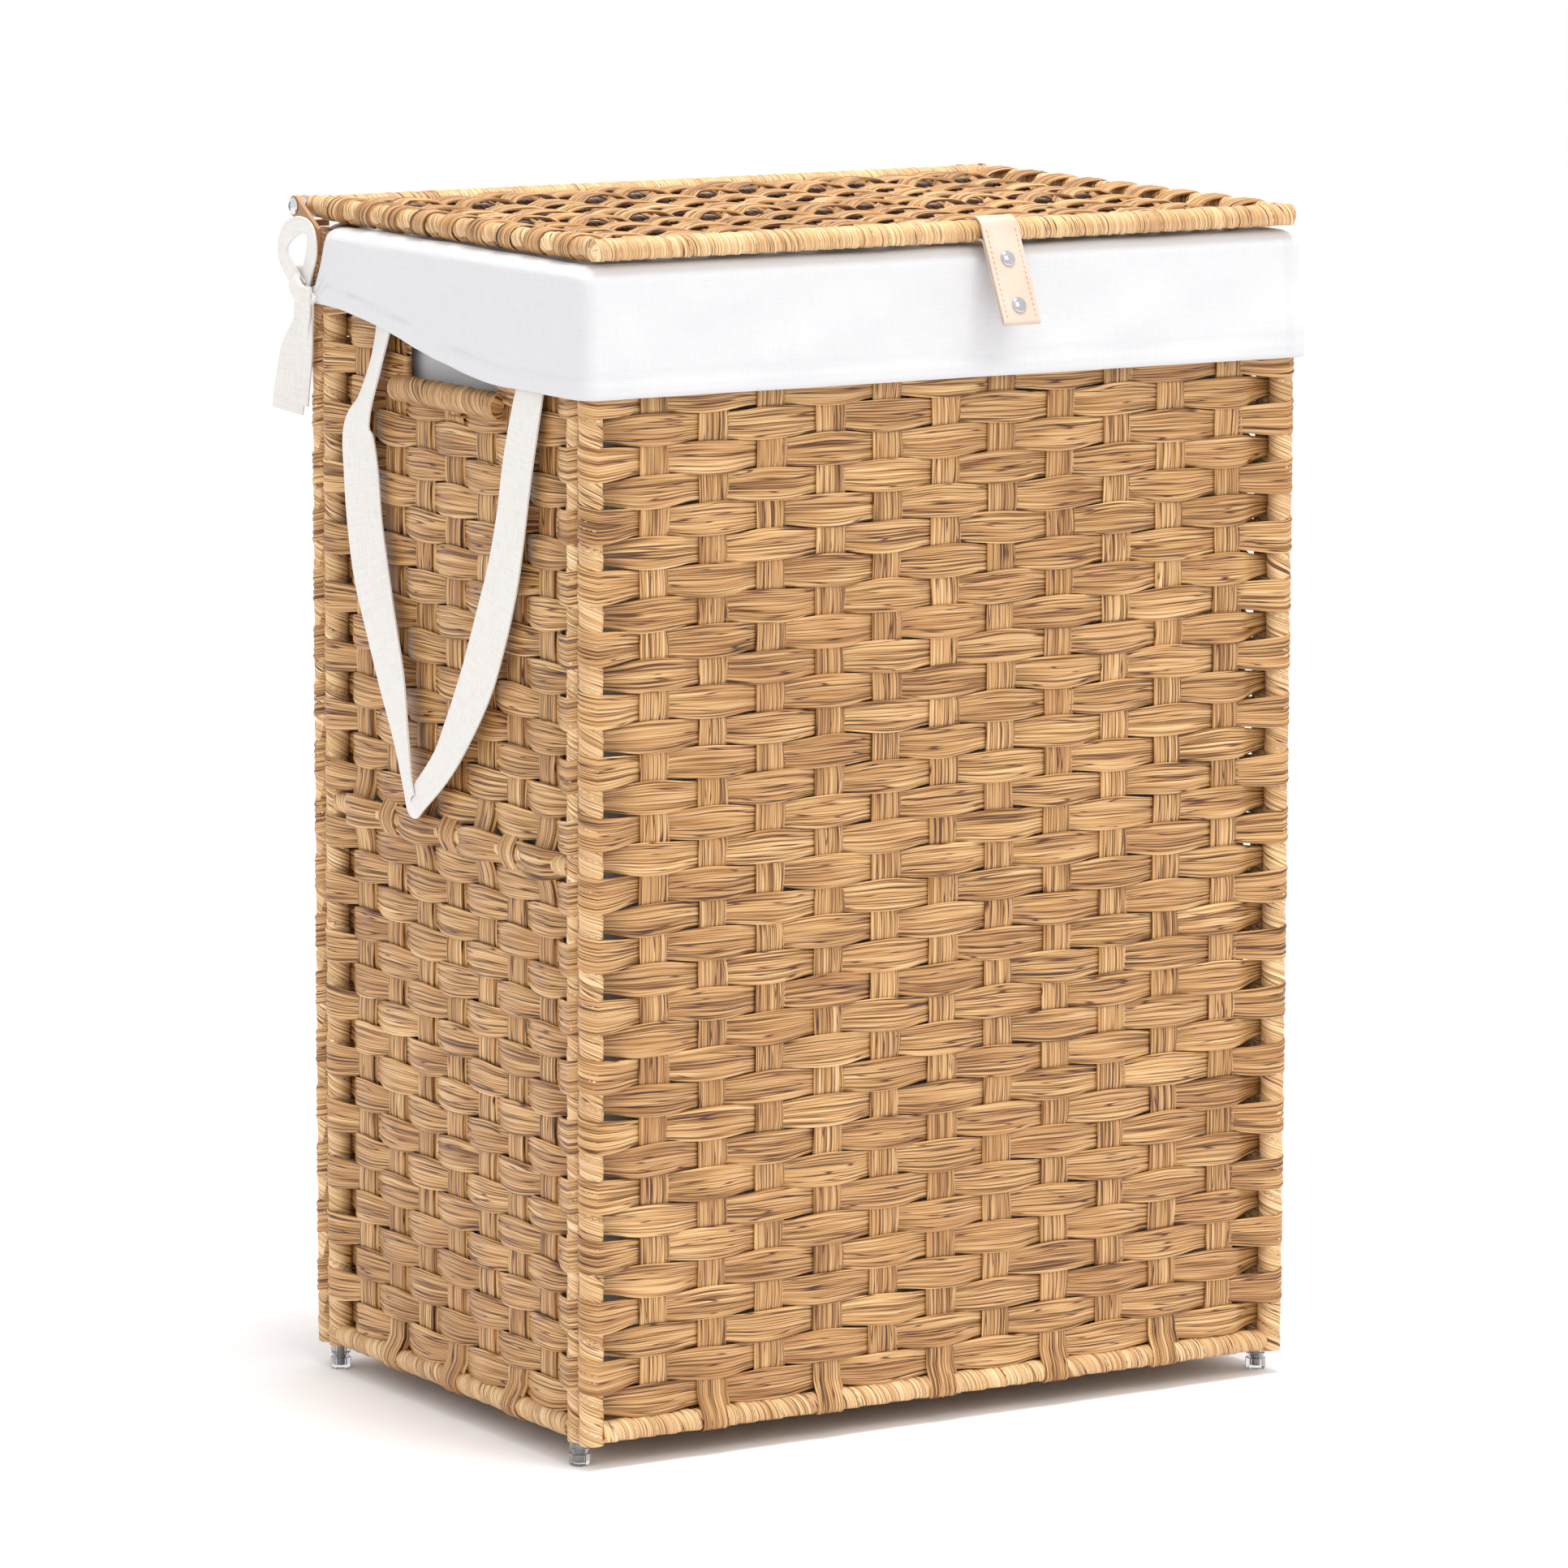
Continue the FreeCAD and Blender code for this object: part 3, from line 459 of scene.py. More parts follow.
def strand_material(name, dark, shade, base, light):
    """Extruded polyethylene strand, fluted along its length while soft: satin, with dark grain lines that run
    the length of the strand, paler streaks between them that are painted highlights, as where the ridges of
    the flutes catch the light, and a tone that varies between strands."""
    material, tree, surface = shader(name, IOR=1.5)
    lay = node(tree, "ShaderNodeAttribute", attribute_name="lay").outputs["Vector"]

    def noise(along_mm, across_mm, detail, offset):
        """Noise with a grain of these lengths along and across the strand, different on every strand."""
        scale = (1 / along_mm, 1 / across_mm, 3.7)
        place = node(tree, "ShaderNodeVectorMath", {0: lay, 1: scale}, operation="MULTIPLY")
        moved = node(tree, "ShaderNodeVectorMath", {0: place.outputs[0], 1: (offset,) * 3})
        settings = {"Vector": moved.outputs[0], "Scale": 1.0, "Detail": detail, "Roughness": 0.6}
        return node(tree, "ShaderNodeTexNoise", settings).outputs["Fac"]

    grain = noise(60, 0.8, 2, 0)
    # The palest stop is painted highlight; the darker stops are the strand's own grain.
    stops = ((0.36, dark), (0.44, shade), (0.53, base), (0.68, light))
    grain_and_highlights = node(tree, "ShaderNodeValToRGB", {0: grain}, stops=stops)
    contour = node(tree, "ShaderNodeMath", {0: noise(70, 1.9, 0.6, 31), 1: 0.5}, operation="SUBTRACT")
    level = node(tree, "ShaderNodeMath", {0: contour.outputs[0]}, operation="ABSOLUTE")
    stops = ((0.0, "#6E4A28"), (0.008, "#8C6842"), (0.028, "#FFFFFF"))
    groove = node(tree, "ShaderNodeValToRGB", {0: level.outputs[0]}, stops=stops)
    tone = noise(120, 30, 1, 67)
    wash = node(tree, "ShaderNodeValToRGB", {0: tone}, stops=((0.3, "#D6C5B4"), (0.7, "#FFFFFF")))
    lined = node(
        tree, "ShaderNodeMix",
        {0: 1.0, 6: grain_and_highlights.outputs[0], 7: groove.outputs[0]}, data_type="RGBA", blend_type="MULTIPLY",
    )
    toned = node(
        tree, "ShaderNodeMix",
        {0: 0.8, 6: lined.outputs[2], 7: wash.outputs[0]}, data_type="RGBA", blend_type="MULTIPLY",
    )
    rough = node(tree, "ShaderNodeMapRange", {0: grain, 3: 0.5, 4: 0.36})
    relief = node(tree, "ShaderNodeBump", {"Strength": 0.45, "Distance": 0.0004, "Height": grain})
    wire(tree, surface, toned.outputs[2], rough.outputs[0], relief.outputs[0])
    return material


def cotton_material(name, colour, shade, thread_mm, slub_mm):
    """Plain-woven cotton: matt with a soft sheen, a fine thread both ways, and thicker threads here and
    there. The real thread is about 0.5 mm, drawn coarser so that it shows."""
    material, tree, surface = shader(name, Roughness=0.9, Sheen_Weight=0.15, Sheen_Roughness=0.5)
    lay = node(tree, "ShaderNodeAttribute", attribute_name="lay").outputs["Vector"]
    slubs = []
    for scale in ((1 / slub_mm, 1 / thread_mm, 1), (1 / thread_mm, 1 / slub_mm, 1)):
        place = node(tree, "ShaderNodeVectorMath", {0: lay, 1: scale}, operation="MULTIPLY")
        settings = {"Vector": place.outputs[0], "Scale": 1.0, "Detail": 2.0}
        slubs.append(node(tree, "ShaderNodeTexNoise", settings).outputs["Fac"])
    both = node(tree, "ShaderNodeMath", {0: slubs[0], 1: slubs[1]}, operation="ADD")
    half = node(tree, "ShaderNodeMath", {0: both.outputs[0], 1: 0.5}, operation="MULTIPLY")
    tint = node(tree, "ShaderNodeValToRGB", {0: half.outputs[0]}, stops=((0.35, shade), (0.55, colour)))
    relief = node(
        tree, "ShaderNodeBump", {"Strength": 0.35, "Distance": 0.0004, "Height": half.outputs[0]}
    )
    wire(tree, surface, tint.outputs[0], None, relief.outputs[0])
    return material


def coated_material(name, colour, worn, grain_mm, rise, **sockets):
    """A material with one even colour that varies a little over a fine grain, read from Object
    coordinates."""
    material, tree, surface = shader(name, **sockets)
    place = node(tree, "ShaderNodeTexCoord").outputs["Object"]
    grain = node(
        tree, "ShaderNodeTexNoise", {"Vector": place, "Scale": 1000 / grain_mm, "Detail": 3.0}
    ).outputs["Fac"]
    broad = node(tree, "ShaderNodeTexNoise", {"Vector": place, "Scale": 55.0, "Detail": 2.0}).outputs["Fac"]
    tint = node(tree, "ShaderNodeValToRGB", {0: broad}, stops=((0.32, worn), (0.6, colour)))
    relief = node(tree, "ShaderNodeBump", {"Strength": 0.5, "Distance": rise * MM, "Height": grain})
    wire(tree, surface, tint.outputs[0], None, relief.outputs[0])
    return material


# Polyethylene strand: honey tan, its palest colour a painted highlight.
STRAND = strand_material("polyethylene_strand", "#6B451D", "#AE7F46", "#D3A369", "#EDCB96")
# The same strand where it is wound on the bars, in a paler copy: painted highlight, the lit look of the posts
# and bars painted into its colours.
LIT_STRAND_COPY = strand_material("painted_lit_polyethylene_strand", "#A97F4C", "#D8AB72", "#F0C892", "#FBE6C0")
# Plain-woven bleached cotton: the liner.
LINER_COTTON = cotton_material("bleached_cotton", "#D7D7D9", "#D2D2D5", 0.7, 12)
# Cotton tape: unbleached, a little warmer.
TAPE_COTTON = cotton_material("cotton_tape", "#E2DFDB", "#D8D4CE", 0.7, 9)
# Vegetable-tanned leather: pale, smooth, a little gloss from pressing.
LEATHER = coated_material("pressed_leather", "#CFBEAE", "#C7B4A2", 0.5, 0.12, Roughness=0.48, IOR=1.5)
# Linen thread: paler than the leather that it sews.
THREAD = coated_material("linen_thread", "#C09E7A", "#AD8A66", 0.3, 0.1, Roughness=0.8)
# Powder-coated steel tube and plate: tan, satin, with the fine texture of baked powder.
COATED_STEEL = coated_material(
    "powder_coated_steel", "#B5875F", "#9C7049", 0.7, 0.06, Roughness=0.42, IOR=1.5
)
# Polished chrome plate on steel: a mirror with a trace of haze.
CHROME = coated_material("chrome_plate", "#D4D5D8", "#B9BABE", 0.9, 0.01, Metallic=1.0, Roughness=0.12)
# Zinc-plated screws: greyer and duller than chrome.
ZINC = coated_material("zinc_plate", "#8E8A88", "#67635F", 0.5, 0.03, Metallic=1.0, Roughness=0.36)
# Clear polycarbonate: glassy, moulded.
CLEAR = coated_material(
    "clear_polycarbonate", "#F4F7FA", "#EEF2F6", 3.0, 0.02, Roughness=0.05, Transmission_Weight=0.92, IOR=1.58
)


# ---- walls

rng = np.random.default_rng(41)
SIDES = {
    "front": face((0, -POST_Y, 0), (1, 0, 0), (0, -1, 0), (0, 0, 1)),
    "back": face((0, POST_Y, 0), (-1, 0, 0), (0, 1, 0), (0, 0, 1)),
    "left": face((-POST_X, 0, 0), (0, -1, 0), (-1, 0, 0), (0, 0, 1)),
    "right": face((POST_X, 0, 0), (0, 1, 0), (1, 0, 0), (0, 0, 1)),
}
WOVEN_LOW = LOW_RAIL_Z + BOUND_R
WOVEN_HIGH = TOP_RAIL_Z - BOUND_R


def rows_between(bottom, top, count):
    """The middles of count equal rows that fill the height."""
    return bottom + (np.arange(count) + 0.5) * (top - bottom) / count


def bulge(height):
    """How far the weave stands out over a side wall's middle rail: a bell over its height."""
    return 5.4 * MM * np.exp(-(((height - MID_RAIL_Z) / (9.5 * MM)) ** 2))


def row_bulge(pos, lie):
    """The bulge for a strand that crosses a side wall, by the height it lies at."""
    return bulge(lie)


def upright_bulge(pos, lie):
    """The bulge for a strand that runs up a side wall, by the height that each point is at."""
    return bulge(pos)


for side, panel in SIDES.items():
    plain = side in ("front", "back")
    half = POST_X if plain else SIDE_POST_Y
    stakes = FRONT_STAKES if plain else SIDE_STAKES
    upright = np.linspace(-half, half, stakes + 2)
    if plain:
        levels = rows_between(WOVEN_LOW, WOVEN_HIGH, WALL_ROWS)
        lie = levels
        order = np.arange(WALL_ROWS)
        ends = np.tile([-half, half], (WALL_ROWS, 1))
        nodes = {"weave": [f"{side}_weave"], "stakes": [f"{side}_stakes"]}
        row_lift = None
        stake_lift = None
        relief = PLAIN_RELIEF
    else:
        row = (WOVEN_HIGH - WOVEN_LOW) / WALL_ROWS
        lower = rows_between(WOVEN_LOW, MID_RAIL_Z - row / 2, WALL_ROWS // 2)
        upper = rows_between(MID_RAIL_Z + row / 2, WOVEN_HIGH, WALL_ROWS // 2)
        levels = np.concatenate([lower, [MID_RAIL_Z], upper])
        gap = (GRIP_Z, GRIP_Z + HANDHOLD_HEIGHT, GRIP_HALF + 1 * MM)
        lie, order, ends = split_rows(levels, half, *gap)
        nodes = {
            kind: [f"{side}_lower_{kind}", f"{side}_upper_{kind}"] for kind in ("weave", "stakes")
        }
        row_lift = row_bulge
        stake_lift = upright_bulge
        relief = SIDE_RELIEF
    weave = lace(
        panel, lie, upright, rng, relief, WALL_WIDTH, BOUND_R, order=order, ends=ends, lift=row_lift
    )
    piece(f"{side}_woven_strands", [weave], STRAND, "basket", nodes["weave"])
    crossings = np.concatenate([[LOW_RAIL_Z], levels, [TOP_RAIL_Z]])
    place = upright[1:-1] + rng.normal(0, 0.7 * MM, stakes)
    stake_ends = np.tile([LOW_RAIL_Z, TOP_RAIL_Z], (stakes, 1))
    if not plain:
        stake_ends[np.abs(place) < GRIP_HALF, 1] = GRIP_Z
    front_layer = lace(
        turned(panel), place, crossings, rng, 0.5 * MM, STAKE_WIDTH, RAIL_R, over=-1, swing=0.03, per=4,
        ends=stake_ends, same_side=True, lift=stake_lift, wander=0.25 * MM,
    )
    inner_ends = stake_ends + np.array([6, -6]) * MM
    behind = lace(
        turned(panel), place + 3.2 * MM, crossings, rng, 0.4 * MM, INNER_STAKE_WIDTH, RAIL_R, over=-1,
        swing=0.03, per=3, ends=inner_ends, same_side=True, lift=stake_lift, sink=1.3 * MM,
        wander=0.7 * MM,
    )
    piece(f"{side}_upright_strands", [front_layer, behind], STRAND, "basket", nodes["stakes"])

    wound = []
    post_top = BACK_BOUND_TOP if side == "back" else TOP_RAIL_Z - 1 * MM
    for end in (-half, half):
        axis = panel.origin + end * panel.along
        bottom = axis + BOUND_LOW * panel.up
        top = axis + post_top * panel.up
        wound.append(sleeve(bottom, top, BOUND_R + POST_LAP, POST_PITCH, rng, turn=-1))
    rails = (LOW_RAIL_Z, TOP_RAIL_Z) if plain else (LOW_RAIL_Z, MID_RAIL_Z, TOP_RAIL_Z)
    for height in rails:
        middle = panel.origin + height * panel.up
        reach = (half - TUBE_R) * panel.along
        wound.append(sleeve(middle - reach, middle + reach, RAIL_R + 0.2 * MM, RAIL_PITCH, rng, uneven=0.35))
    piece(f"{side}_bound_strand", wound, LIT_STRAND_COPY, "basket", [f"{side}_binding"])
    if not plain:
        middle = panel.origin + (GRIP_Z + 4 * MM) * panel.up + 2.2 * MM * panel.out
        reach = (GRIP_HALF + 6 * MM) * panel.along
        bundle_r = GRIP_R + 2.4 * MM
        bundle = [sleeve(middle - reach, middle + reach, bundle_r, BUNDLE_PITCH, rng, uneven=0.6)]
        piece(f"{side}_handhold_bundle", bundle, STRAND, "basket", [f"{side}_grip"])

# ---- base

base = face((0, 0, BASE_Z), (1, 0, 0), (0, 0, -1), (0, 1, 0))
upright = np.linspace(-BASE_X, BASE_X, BASE_STAKES + 2)
levels = rows_between(BOUND_R - BASE_Y, BASE_Y - BOUND_R, BASE_ROWS)
piece(
    "base_woven_strands",
    [lace(base, levels, upright, rng, BASE_RELIEF, BASE_WIDTH, BOUND_R)],
    STRAND, "basket", ["base_weave"],
)
crossings = np.concatenate([[-BASE_Y], levels, [BASE_Y]])
piece(
    "base_upright_strands",
    [
        lace(
            turned(base), upright[1:-1], crossings, rng, 0.5 * MM, BASE_WIDTH, BOUND_R, over=-1,
            swing=0.03, per=4,
        )
    ],
    STRAND, "basket", ["base_stakes"],
)
wound = []
for sign in (-1, 1):
    for start, end in (
        ((-BASE_X, sign * BASE_Y, BASE_Z), (BASE_X, sign * BASE_Y, BASE_Z)),
        ((sign * BASE_X, -BASE_Y, BASE_Z), (sign * BASE_X, BASE_Y, BASE_Z)),
    ):
        wound.append(sleeve(start, end, BOUND_R, BASE_PITCH, rng))
piece("base_bound_strand", wound, LIT_STRAND_COPY, "basket", ["base_binding"])

# ---- lid

# Its crossing strands sway from side to side by turns, so that they close up over one upright strand and open
# into a lens-shaped hole over the next. Two rows of holes are larger.
LID_FACE = face((0, 0, LID_Z), (1, 0, 0), (0, 0, 1), (0, 1, 0))
LID_PITCH = 2 * LID_X / (LID_STAKES + 1)
LID_ROW = (LID_REAR_Y - LID_Y - 2 * BOUND_R) / LID_ROWS
LARGE_HOLES = (7.5, 15.5)


def beside_large(number):
    """How near each of the lid's crossing strands lies to a row of large holes, from 0 to 1."""
    return sum(np.exp(-(((number - row) / 0.9) ** 2)) for row in LARGE_HOLES)


def lid_sway(pos, order):
    """Sideways sway of the lid's crossing strands: a cosine two uprights long, larger beside the large
    holes."""
    number = order[:, None]
    size = (3.2 + 4.5 * beside_large(number)) * MM * ease((LID_X - np.abs(pos)) / LID_PITCH)
    return -size * np.cos(np.pi * (pos / LID_PITCH + number))


upright = np.linspace(-LID_X, LID_X, LID_STAKES + 2)
levels = rows_between(LID_Y + BOUND_R, LID_REAR_Y - BOUND_R, LID_ROWS)
lid_relief = (3.0 + 2.2 * beside_large(np.arange(LID_ROWS))) * MM
piece(
    "lid_woven_strands",
    [lace(LID_FACE, levels, upright, rng, lid_relief, LID_WIDTH, BOUND_R, sway=lid_sway, swing=0.1)],
    STRAND, "lid", ["lid_weave"],
)
crossings = np.concatenate([[LID_Y], levels, [LID_REAR_Y]])
lid_ends = np.tile([LID_Y + 4 * MM, LID_REAR_Y - 4 * MM], (LID_STAKES, 1))
piece(
    "lid_upright_strands",
    [
        lace(
            turned(LID_FACE), upright[1:-1], crossings, rng, 0.9 * MM, LID_STAKE_WIDTH, BOUND_R, over=-1,
            swing=0.12, per=4, ends=lid_ends, same_side=True,
        )
    ],
    STRAND, "lid", ["lid_stakes"],
)
front_end = LID_X + BOUND_R - 0.6 * MM
lid_wound_r = BOUND_R + 0.1 * MM
wound = [
    sleeve((-end, y, LID_Z), (end, y, LID_Z), lid_wound_r, LID_FRONT_PITCH, rng, uneven=0.4)
    for y, end in ((LID_Y, front_end), (LID_REAR_Y, LID_X))
]
side_start = BOUND_R + 0.9 * MM
for sign in (-1, 1):
    x = sign * LID_X
    front = (x, LID_Y + side_start, LID_Z)
    rear = (x, LID_BOUND_END, LID_Z)
    wound.append(sleeve(front, rear, lid_wound_r, LID_SIDE_PITCH, rng, uneven=0.3))
piece("lid_bound_strand", wound, LIT_STRAND_COPY, "lid", ["lid_binding"])

# ---- liner

low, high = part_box("liner")
CUFF_X = high.x
CUFF_Y = high.y
CUFF_TOP = high.z
CUFF_DROP = 61 * MM
HEM_Z = RIM_Z - CUFF_DROP
CUFF_CORNER = 7 * MM
BAG_CORNER = 9 * MM
BAG_X = POST_X - BOUND_R - 2.3 * MM
BAG_Y = SIDE_POST_Y - BOUND_R - 1.5 * MM
BAG_Z = low.z
CLOTH = 1.2 * MM
HEM_RISE = 24 * MM
HEM_BAND = 9 * MM
SLIT_HALF = 15 * MM
SLIT_LOW = RIM_Z - 30 * MM


def loop_columns(long_count, short_count, corner_count):
    """Unit directions round a rounded rectangle, from the middle of its front.

    Returns the corner-centre share (-1 to 1, two numbers) and the outward normal of each column: on a
    straight side the share moves evenly and the normal stands still, and at a corner the other way round.
    """
    share, normal = [], []
    corners = [(1, -1), (1, 1), (-1, 1), (-1, -1)]
    counts = [short_count, long_count, short_count, long_count]
    for number, corner in enumerate(corners):
        start = -np.pi / 2 + number * np.pi / 2
        angle = start + np.linspace(0, np.pi / 2, corner_count, endpoint=False)
        share.append(np.tile(corner, (corner_count, 1)))
        normal.append(np.stack([np.cos(angle), np.sin(angle)], -1))
        after = corners[(number + 1) % 4]
        t = np.linspace(0, 1, counts[number], endpoint=False)[:, None]
        share.append((1 - t) * corner + t * np.array(after))
        way = (np.cos(start + np.pi / 2), np.sin(start + np.pi / 2))
        normal.append(np.tile(way, (counts[number], 1)))
    return np.concatenate(share), np.concatenate(normal)


def liner():
    """The bag and its cuff as one sheet, a grid of columns round the rim and rows down the cloth.

    The rows go up the cuff from its hem, over the rim on a half circle, down the inside and in across the
    floor. Each row is a rounded rectangle. At the two rear corners the cuff and the inside stop short of
    the rim, on a curve, and the rows over the rim are left out. Uneven waves push the cloth in and out.
    """
    share, normal = loop_columns(72, 52, 9)
    rows = []
    cuff_rows = 24
    rim_rows = 9
    bag_rows = 46
    floor_rows = 10
    for t in np.linspace(0, 1, cuff_rows):
        rows.append((CUFF_X, CUFF_Y, CUFF_CORNER, t, 0))
    for angle in np.linspace(0, np.pi, rim_rows + 2)[1:-1]:
        inward = (1 - math.cos(angle)) / 2
        hx = CUFF_X - inward * (CUFF_X - BAG_X)
        hy = CUFF_Y - inward * (CUFF_Y - BAG_Y - 9 * MM)
        rows.append((hx, hy, CUFF_CORNER, math.sin(angle), 1))
    for t in np.linspace(1, 0, bag_rows):
        sunk = (1 - t) * (RIM_Z - BAG_Z)
        flared = BAG_Y + 9 * MM * math.exp(-((sunk / (22 * MM)) ** 2))
        rows.append((BAG_X, flared, BAG_CORNER, t, 2))
    for t in np.linspace(1, 0, floor_rows + 1)[1:]:
        share_left = 0.04 + 0.96 * t
        rows.append((BAG_X * share_left, BAG_Y * share_left, BAG_CORNER * t, t, 3))
    hx, hy, corner, t, kind = (np.array(column)[:, None] for column in zip(*rows))
    size = np.stack([hx - corner, hy - corner], -1)
    flat = share[None] * size + normal[None] * corner[..., None]
    x, y = flat[..., 0], flat[..., 1]
    rear = ease((y + 68 * MM) / (190 * MM))
    hem = HEM_Z + HEM_RISE * rear
    past_post = np.maximum(0, np.abs(y - POST_Y) - 2 * MM)
    past_side = np.maximum(0, CUFF_X - 3 * MM - np.abs(x))
    post = np.hypot(past_post, past_side)
    notch = SLIT_LOW + (RIM_Z - SLIT_LOW) * np.clip(post / SLIT_HALF, 0, 1) ** 1.6
    in_slit = post[cuff_rows - 1] < SLIT_HALF
    edge = np.where(in_slit, notch, RIM_Z - 4 * MM)
    z = np.where(kind == 0, hem + t * (edge - hem), 0)
    z = np.where(kind == 1, RIM_Z - 4 * MM + t * (CUFF_TOP - RIM_Z + 4.7 * MM), z)
    z = np.where(kind == 2, BAG_Z + t * (edge - BAG_Z), z)
    z = np.where(kind == 3, BAG_Z, z)
    points = np.stack([x, y, z], -1)
    rng = np.random.default_rng(7)
    soft = ripple(points * (1, 1, 1.3), rng, 0.07)
    crease = ripple(points * (1, 1, 0.35), rng, 0.018)
    near_tie = np.exp(-(((np.abs(x) - CUFF_X) / (60 * MM)) ** 2)) * ease((y - 60 * MM) / (60 * MM))
    push = np.where(kind == 0, 1.3 * soft + (0.5 + 0.7 * near_tie) * crease + 0.6, 0)
    swell = np.sin(np.pi * np.clip(t, 0.06, 1) ** 0.7)
    push = np.where(kind == 0, np.maximum(push * swell, -0.3) + 0.9, push)
    drop = z - hem
    band = (kind == 0) * np.where(drop < HEM_BAND, 0.55, 0)
    seam = (kind == 0) * -0.7 * np.exp(-(((drop - HEM_BAND) / (1.1 * MM)) ** 2))
    flare = (kind == 0) * 1.4 * (1 - t) ** 2 * ease(x / CUFF_X) * (y < 0)
    slack = np.where(kind == 2, -1.4 - 1.3 * soft - 0.6 * crease, 0) * np.sin(np.pi * t) ** 0.5
    amount = (push + band + seam + flare + slack) * MM
    points[..., :2] += amount[..., None] * normal[None]
    points[..., 2] += np.where(kind == 3, 1.5 * MM * (1 + soft), 0)
    points[..., 2] += np.where(kind == 1, 0.35 * MM * soft * t, 0)
    count, columns = x.shape
    quads = grid(count, columns, ring=True).reshape(count - 1, columns, 4)
    cut = np.zeros((count - 1, columns), bool)
    lost = in_slit & np.roll(in_slit, -1)
    cut[cuff_rows - 1 : cuff_rows + rim_rows] = lost
    quads = quads[~cut]
    used = np.zeros(count * columns, bool)
    used[quads.ravel()] = True
    centre = points[-1].mean(0, keepdims=True)
    renumber = np.cumsum(used) - 1
    ahead = np.cumsum(np.linalg.norm(np.diff(points, axis=0, prepend=points[:1]), axis=-1), 0)
    around = np.cumsum(np.linalg.norm(np.diff(points[:1], axis=1, prepend=points[:1, :1]), axis=-1), 1)
    lay = np.stack([around * np.ones_like(x), ahead, 0.003 + 0 * x], -1) / MM
    last = (count - 1) * columns + np.arange(columns)
    tris = np.stack([last, np.roll(last, -1), np.full(columns, count * columns)], -1)
    used = np.append(used, True)
    renumber = np.append(renumber, renumber[-1] + 1)
    whole = np.concatenate([points.reshape(-1, 3), centre])[used]
    grain = np.concatenate([lay.reshape(-1, 3), lay[-1, :1]])[used]
    return Part(whole, renumber[quads], renumber[tris], grain)


cloth = piece("cotton_liner", [liner()], LINER_COTTON, "basket", ["liner"], sharp_deg=80)
thickness = cloth.modifiers.new("cloth", "SOLIDIFY")
thickness.thickness = CLOTH
thickness.offset = -1


# ---- tapes: carrying straps and ties


def curve(points, steps):
    """A smooth line through the points, given in millimetres: cubic pieces whose slope at each point is
    half the step between its neighbours."""
    p = np.array(points, float)
    slope = np.gradient(p, axis=0)
    at = np.linspace(0, len(p) - 1, steps)
    i = np.minimum(at.astype(int), len(p) - 2)
    t = (at - i)[:, None]
    return (
        (2 * t**3 - 3 * t**2 + 1) * p[i] + (t**3 - 2 * t**2 + t) * slope[i]
        + (3 * t**2 - 2 * t**3) * p[i + 1] + (t**3 - t**2) * slope[i + 1]
    )


def tape(points, rng, steps=90, mirror=1, thick=1.3 * MM):
    """A flat cotton tape. Each point is (x, y, z, width, angle) in millimetres and degrees: the tape's
    face looks along -X at angle 0 and turns about its own length from there."""
    line = curve(points, steps)
    path = line[:, :3] * MM * (mirror, 1, 1)
    ahead = unit(np.gradient(path, axis=0))
    side = np.array([-1.0 * mirror, 0, 0])
    flat = unit(side - ahead * (ahead @ side)[:, None])
    other = np.cross(ahead, flat)
    angle = np.radians(line[:, 4])[:, None] * mirror
    out = np.cos(angle) * flat + np.sin(angle) * other
    return ribbons(path[None], out[None], line[None, :, 3] * MM, rng, thick=thick, rise=0.06 * MM, lanes=9)


STRAP_POINTS = [
    (-204.4, 60, 556, 20, 0), (-204.6, 60.5, 540, 19, 8), (-206.8, 65, 519, 17, 14),
    (-208.6, 74, 497, 20, 12), (-209.8, 78.5, 484, 25, -5), (-210.2, 74.8, 465, 25, -13),
    (-210.6, 70.4, 439, 25, -14), (-211, 62.7, 413, 25, -14), (-211, 53, 388, 25, -7),
    (-211, 42.5, 362, 25, 0), (-211, 33.7, 336, 21, 9), (-211, 26.8, 312, 16, 14),
    (-211.2, 22.5, 304.5, 14, 8), (-211, 16, 309, 15, 0), (-211, -6, 327, 18, 0),
    (-210.8, -21, 345, 23, 0), (-210.5, -40.5, 373, 25, 7), (-210, -53.7, 400, 25, 9),
    (-209.5, -65, 428, 25, 6), (-209.2, -72.2, 454, 25, 3), (-208.6, -77.5, 481, 25, 3),
    (-207.4, -83.4, 507, 25, 1), (-205, -85.6, 527, 24, 0), (-204.4, -86, 552, 24, 0),
]
for name, mirror in (("left", 1), ("right", -1)):
    shape = tape(STRAP_POINTS, rng, steps=150, mirror=mirror)
    strap = piece(
        f"carrying_strap_{name}", [shape], TAPE_COTTON, None, [f"strap_{name}"]
    )
    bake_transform(strap)

# The tie: a loop that stands up from the knot, the knot itself, a gathered band under it and two tails.
TIE_LOOP = [
    (-210.5, 134.5, 550, 9, 0), (-213, 141.5, 558, 10, 0), (-214.8, 145.6, 565.5, 10, 0),
    (-214.8, 145, 573, 10, 0), (-213.5, 140.3, 579, 10, 8), (-211, 133.6, 581.5, 9, 15),
    (-208.9, 128, 578.5, 9, 8), (-208.6, 127.6, 568.5, 10, 0), (-208.9, 131, 559.5, 9, 0),
    (-209.8, 133.5, 551, 8, 0),
]
TIE_TAILS = (
    [
        (-210.8, 132.5, 551, 11, 0), (-211.6, 131.8, 545, 15, 0), (-212, 131.5, 537, 14, -5),
        (-212.2, 132.5, 532, 12, -12), (-213, 136, 520, 17, -28), (-214, 139.8, 502, 18, -32),
        (-214.5, 142.8, 488, 18, -30),
    ],
    [
        (-209.9, 131.5, 551, 9, 0), (-210, 130.8, 544, 13, 0), (-210, 130.2, 537, 12, 0),
        (-210.2, 130.8, 531, 11, -6), (-210.6, 133, 518, 13, -14), (-211.4, 136.5, 502, 14, -22),
        (-211.8, 138.5, 492, 15, -24),
    ],
)
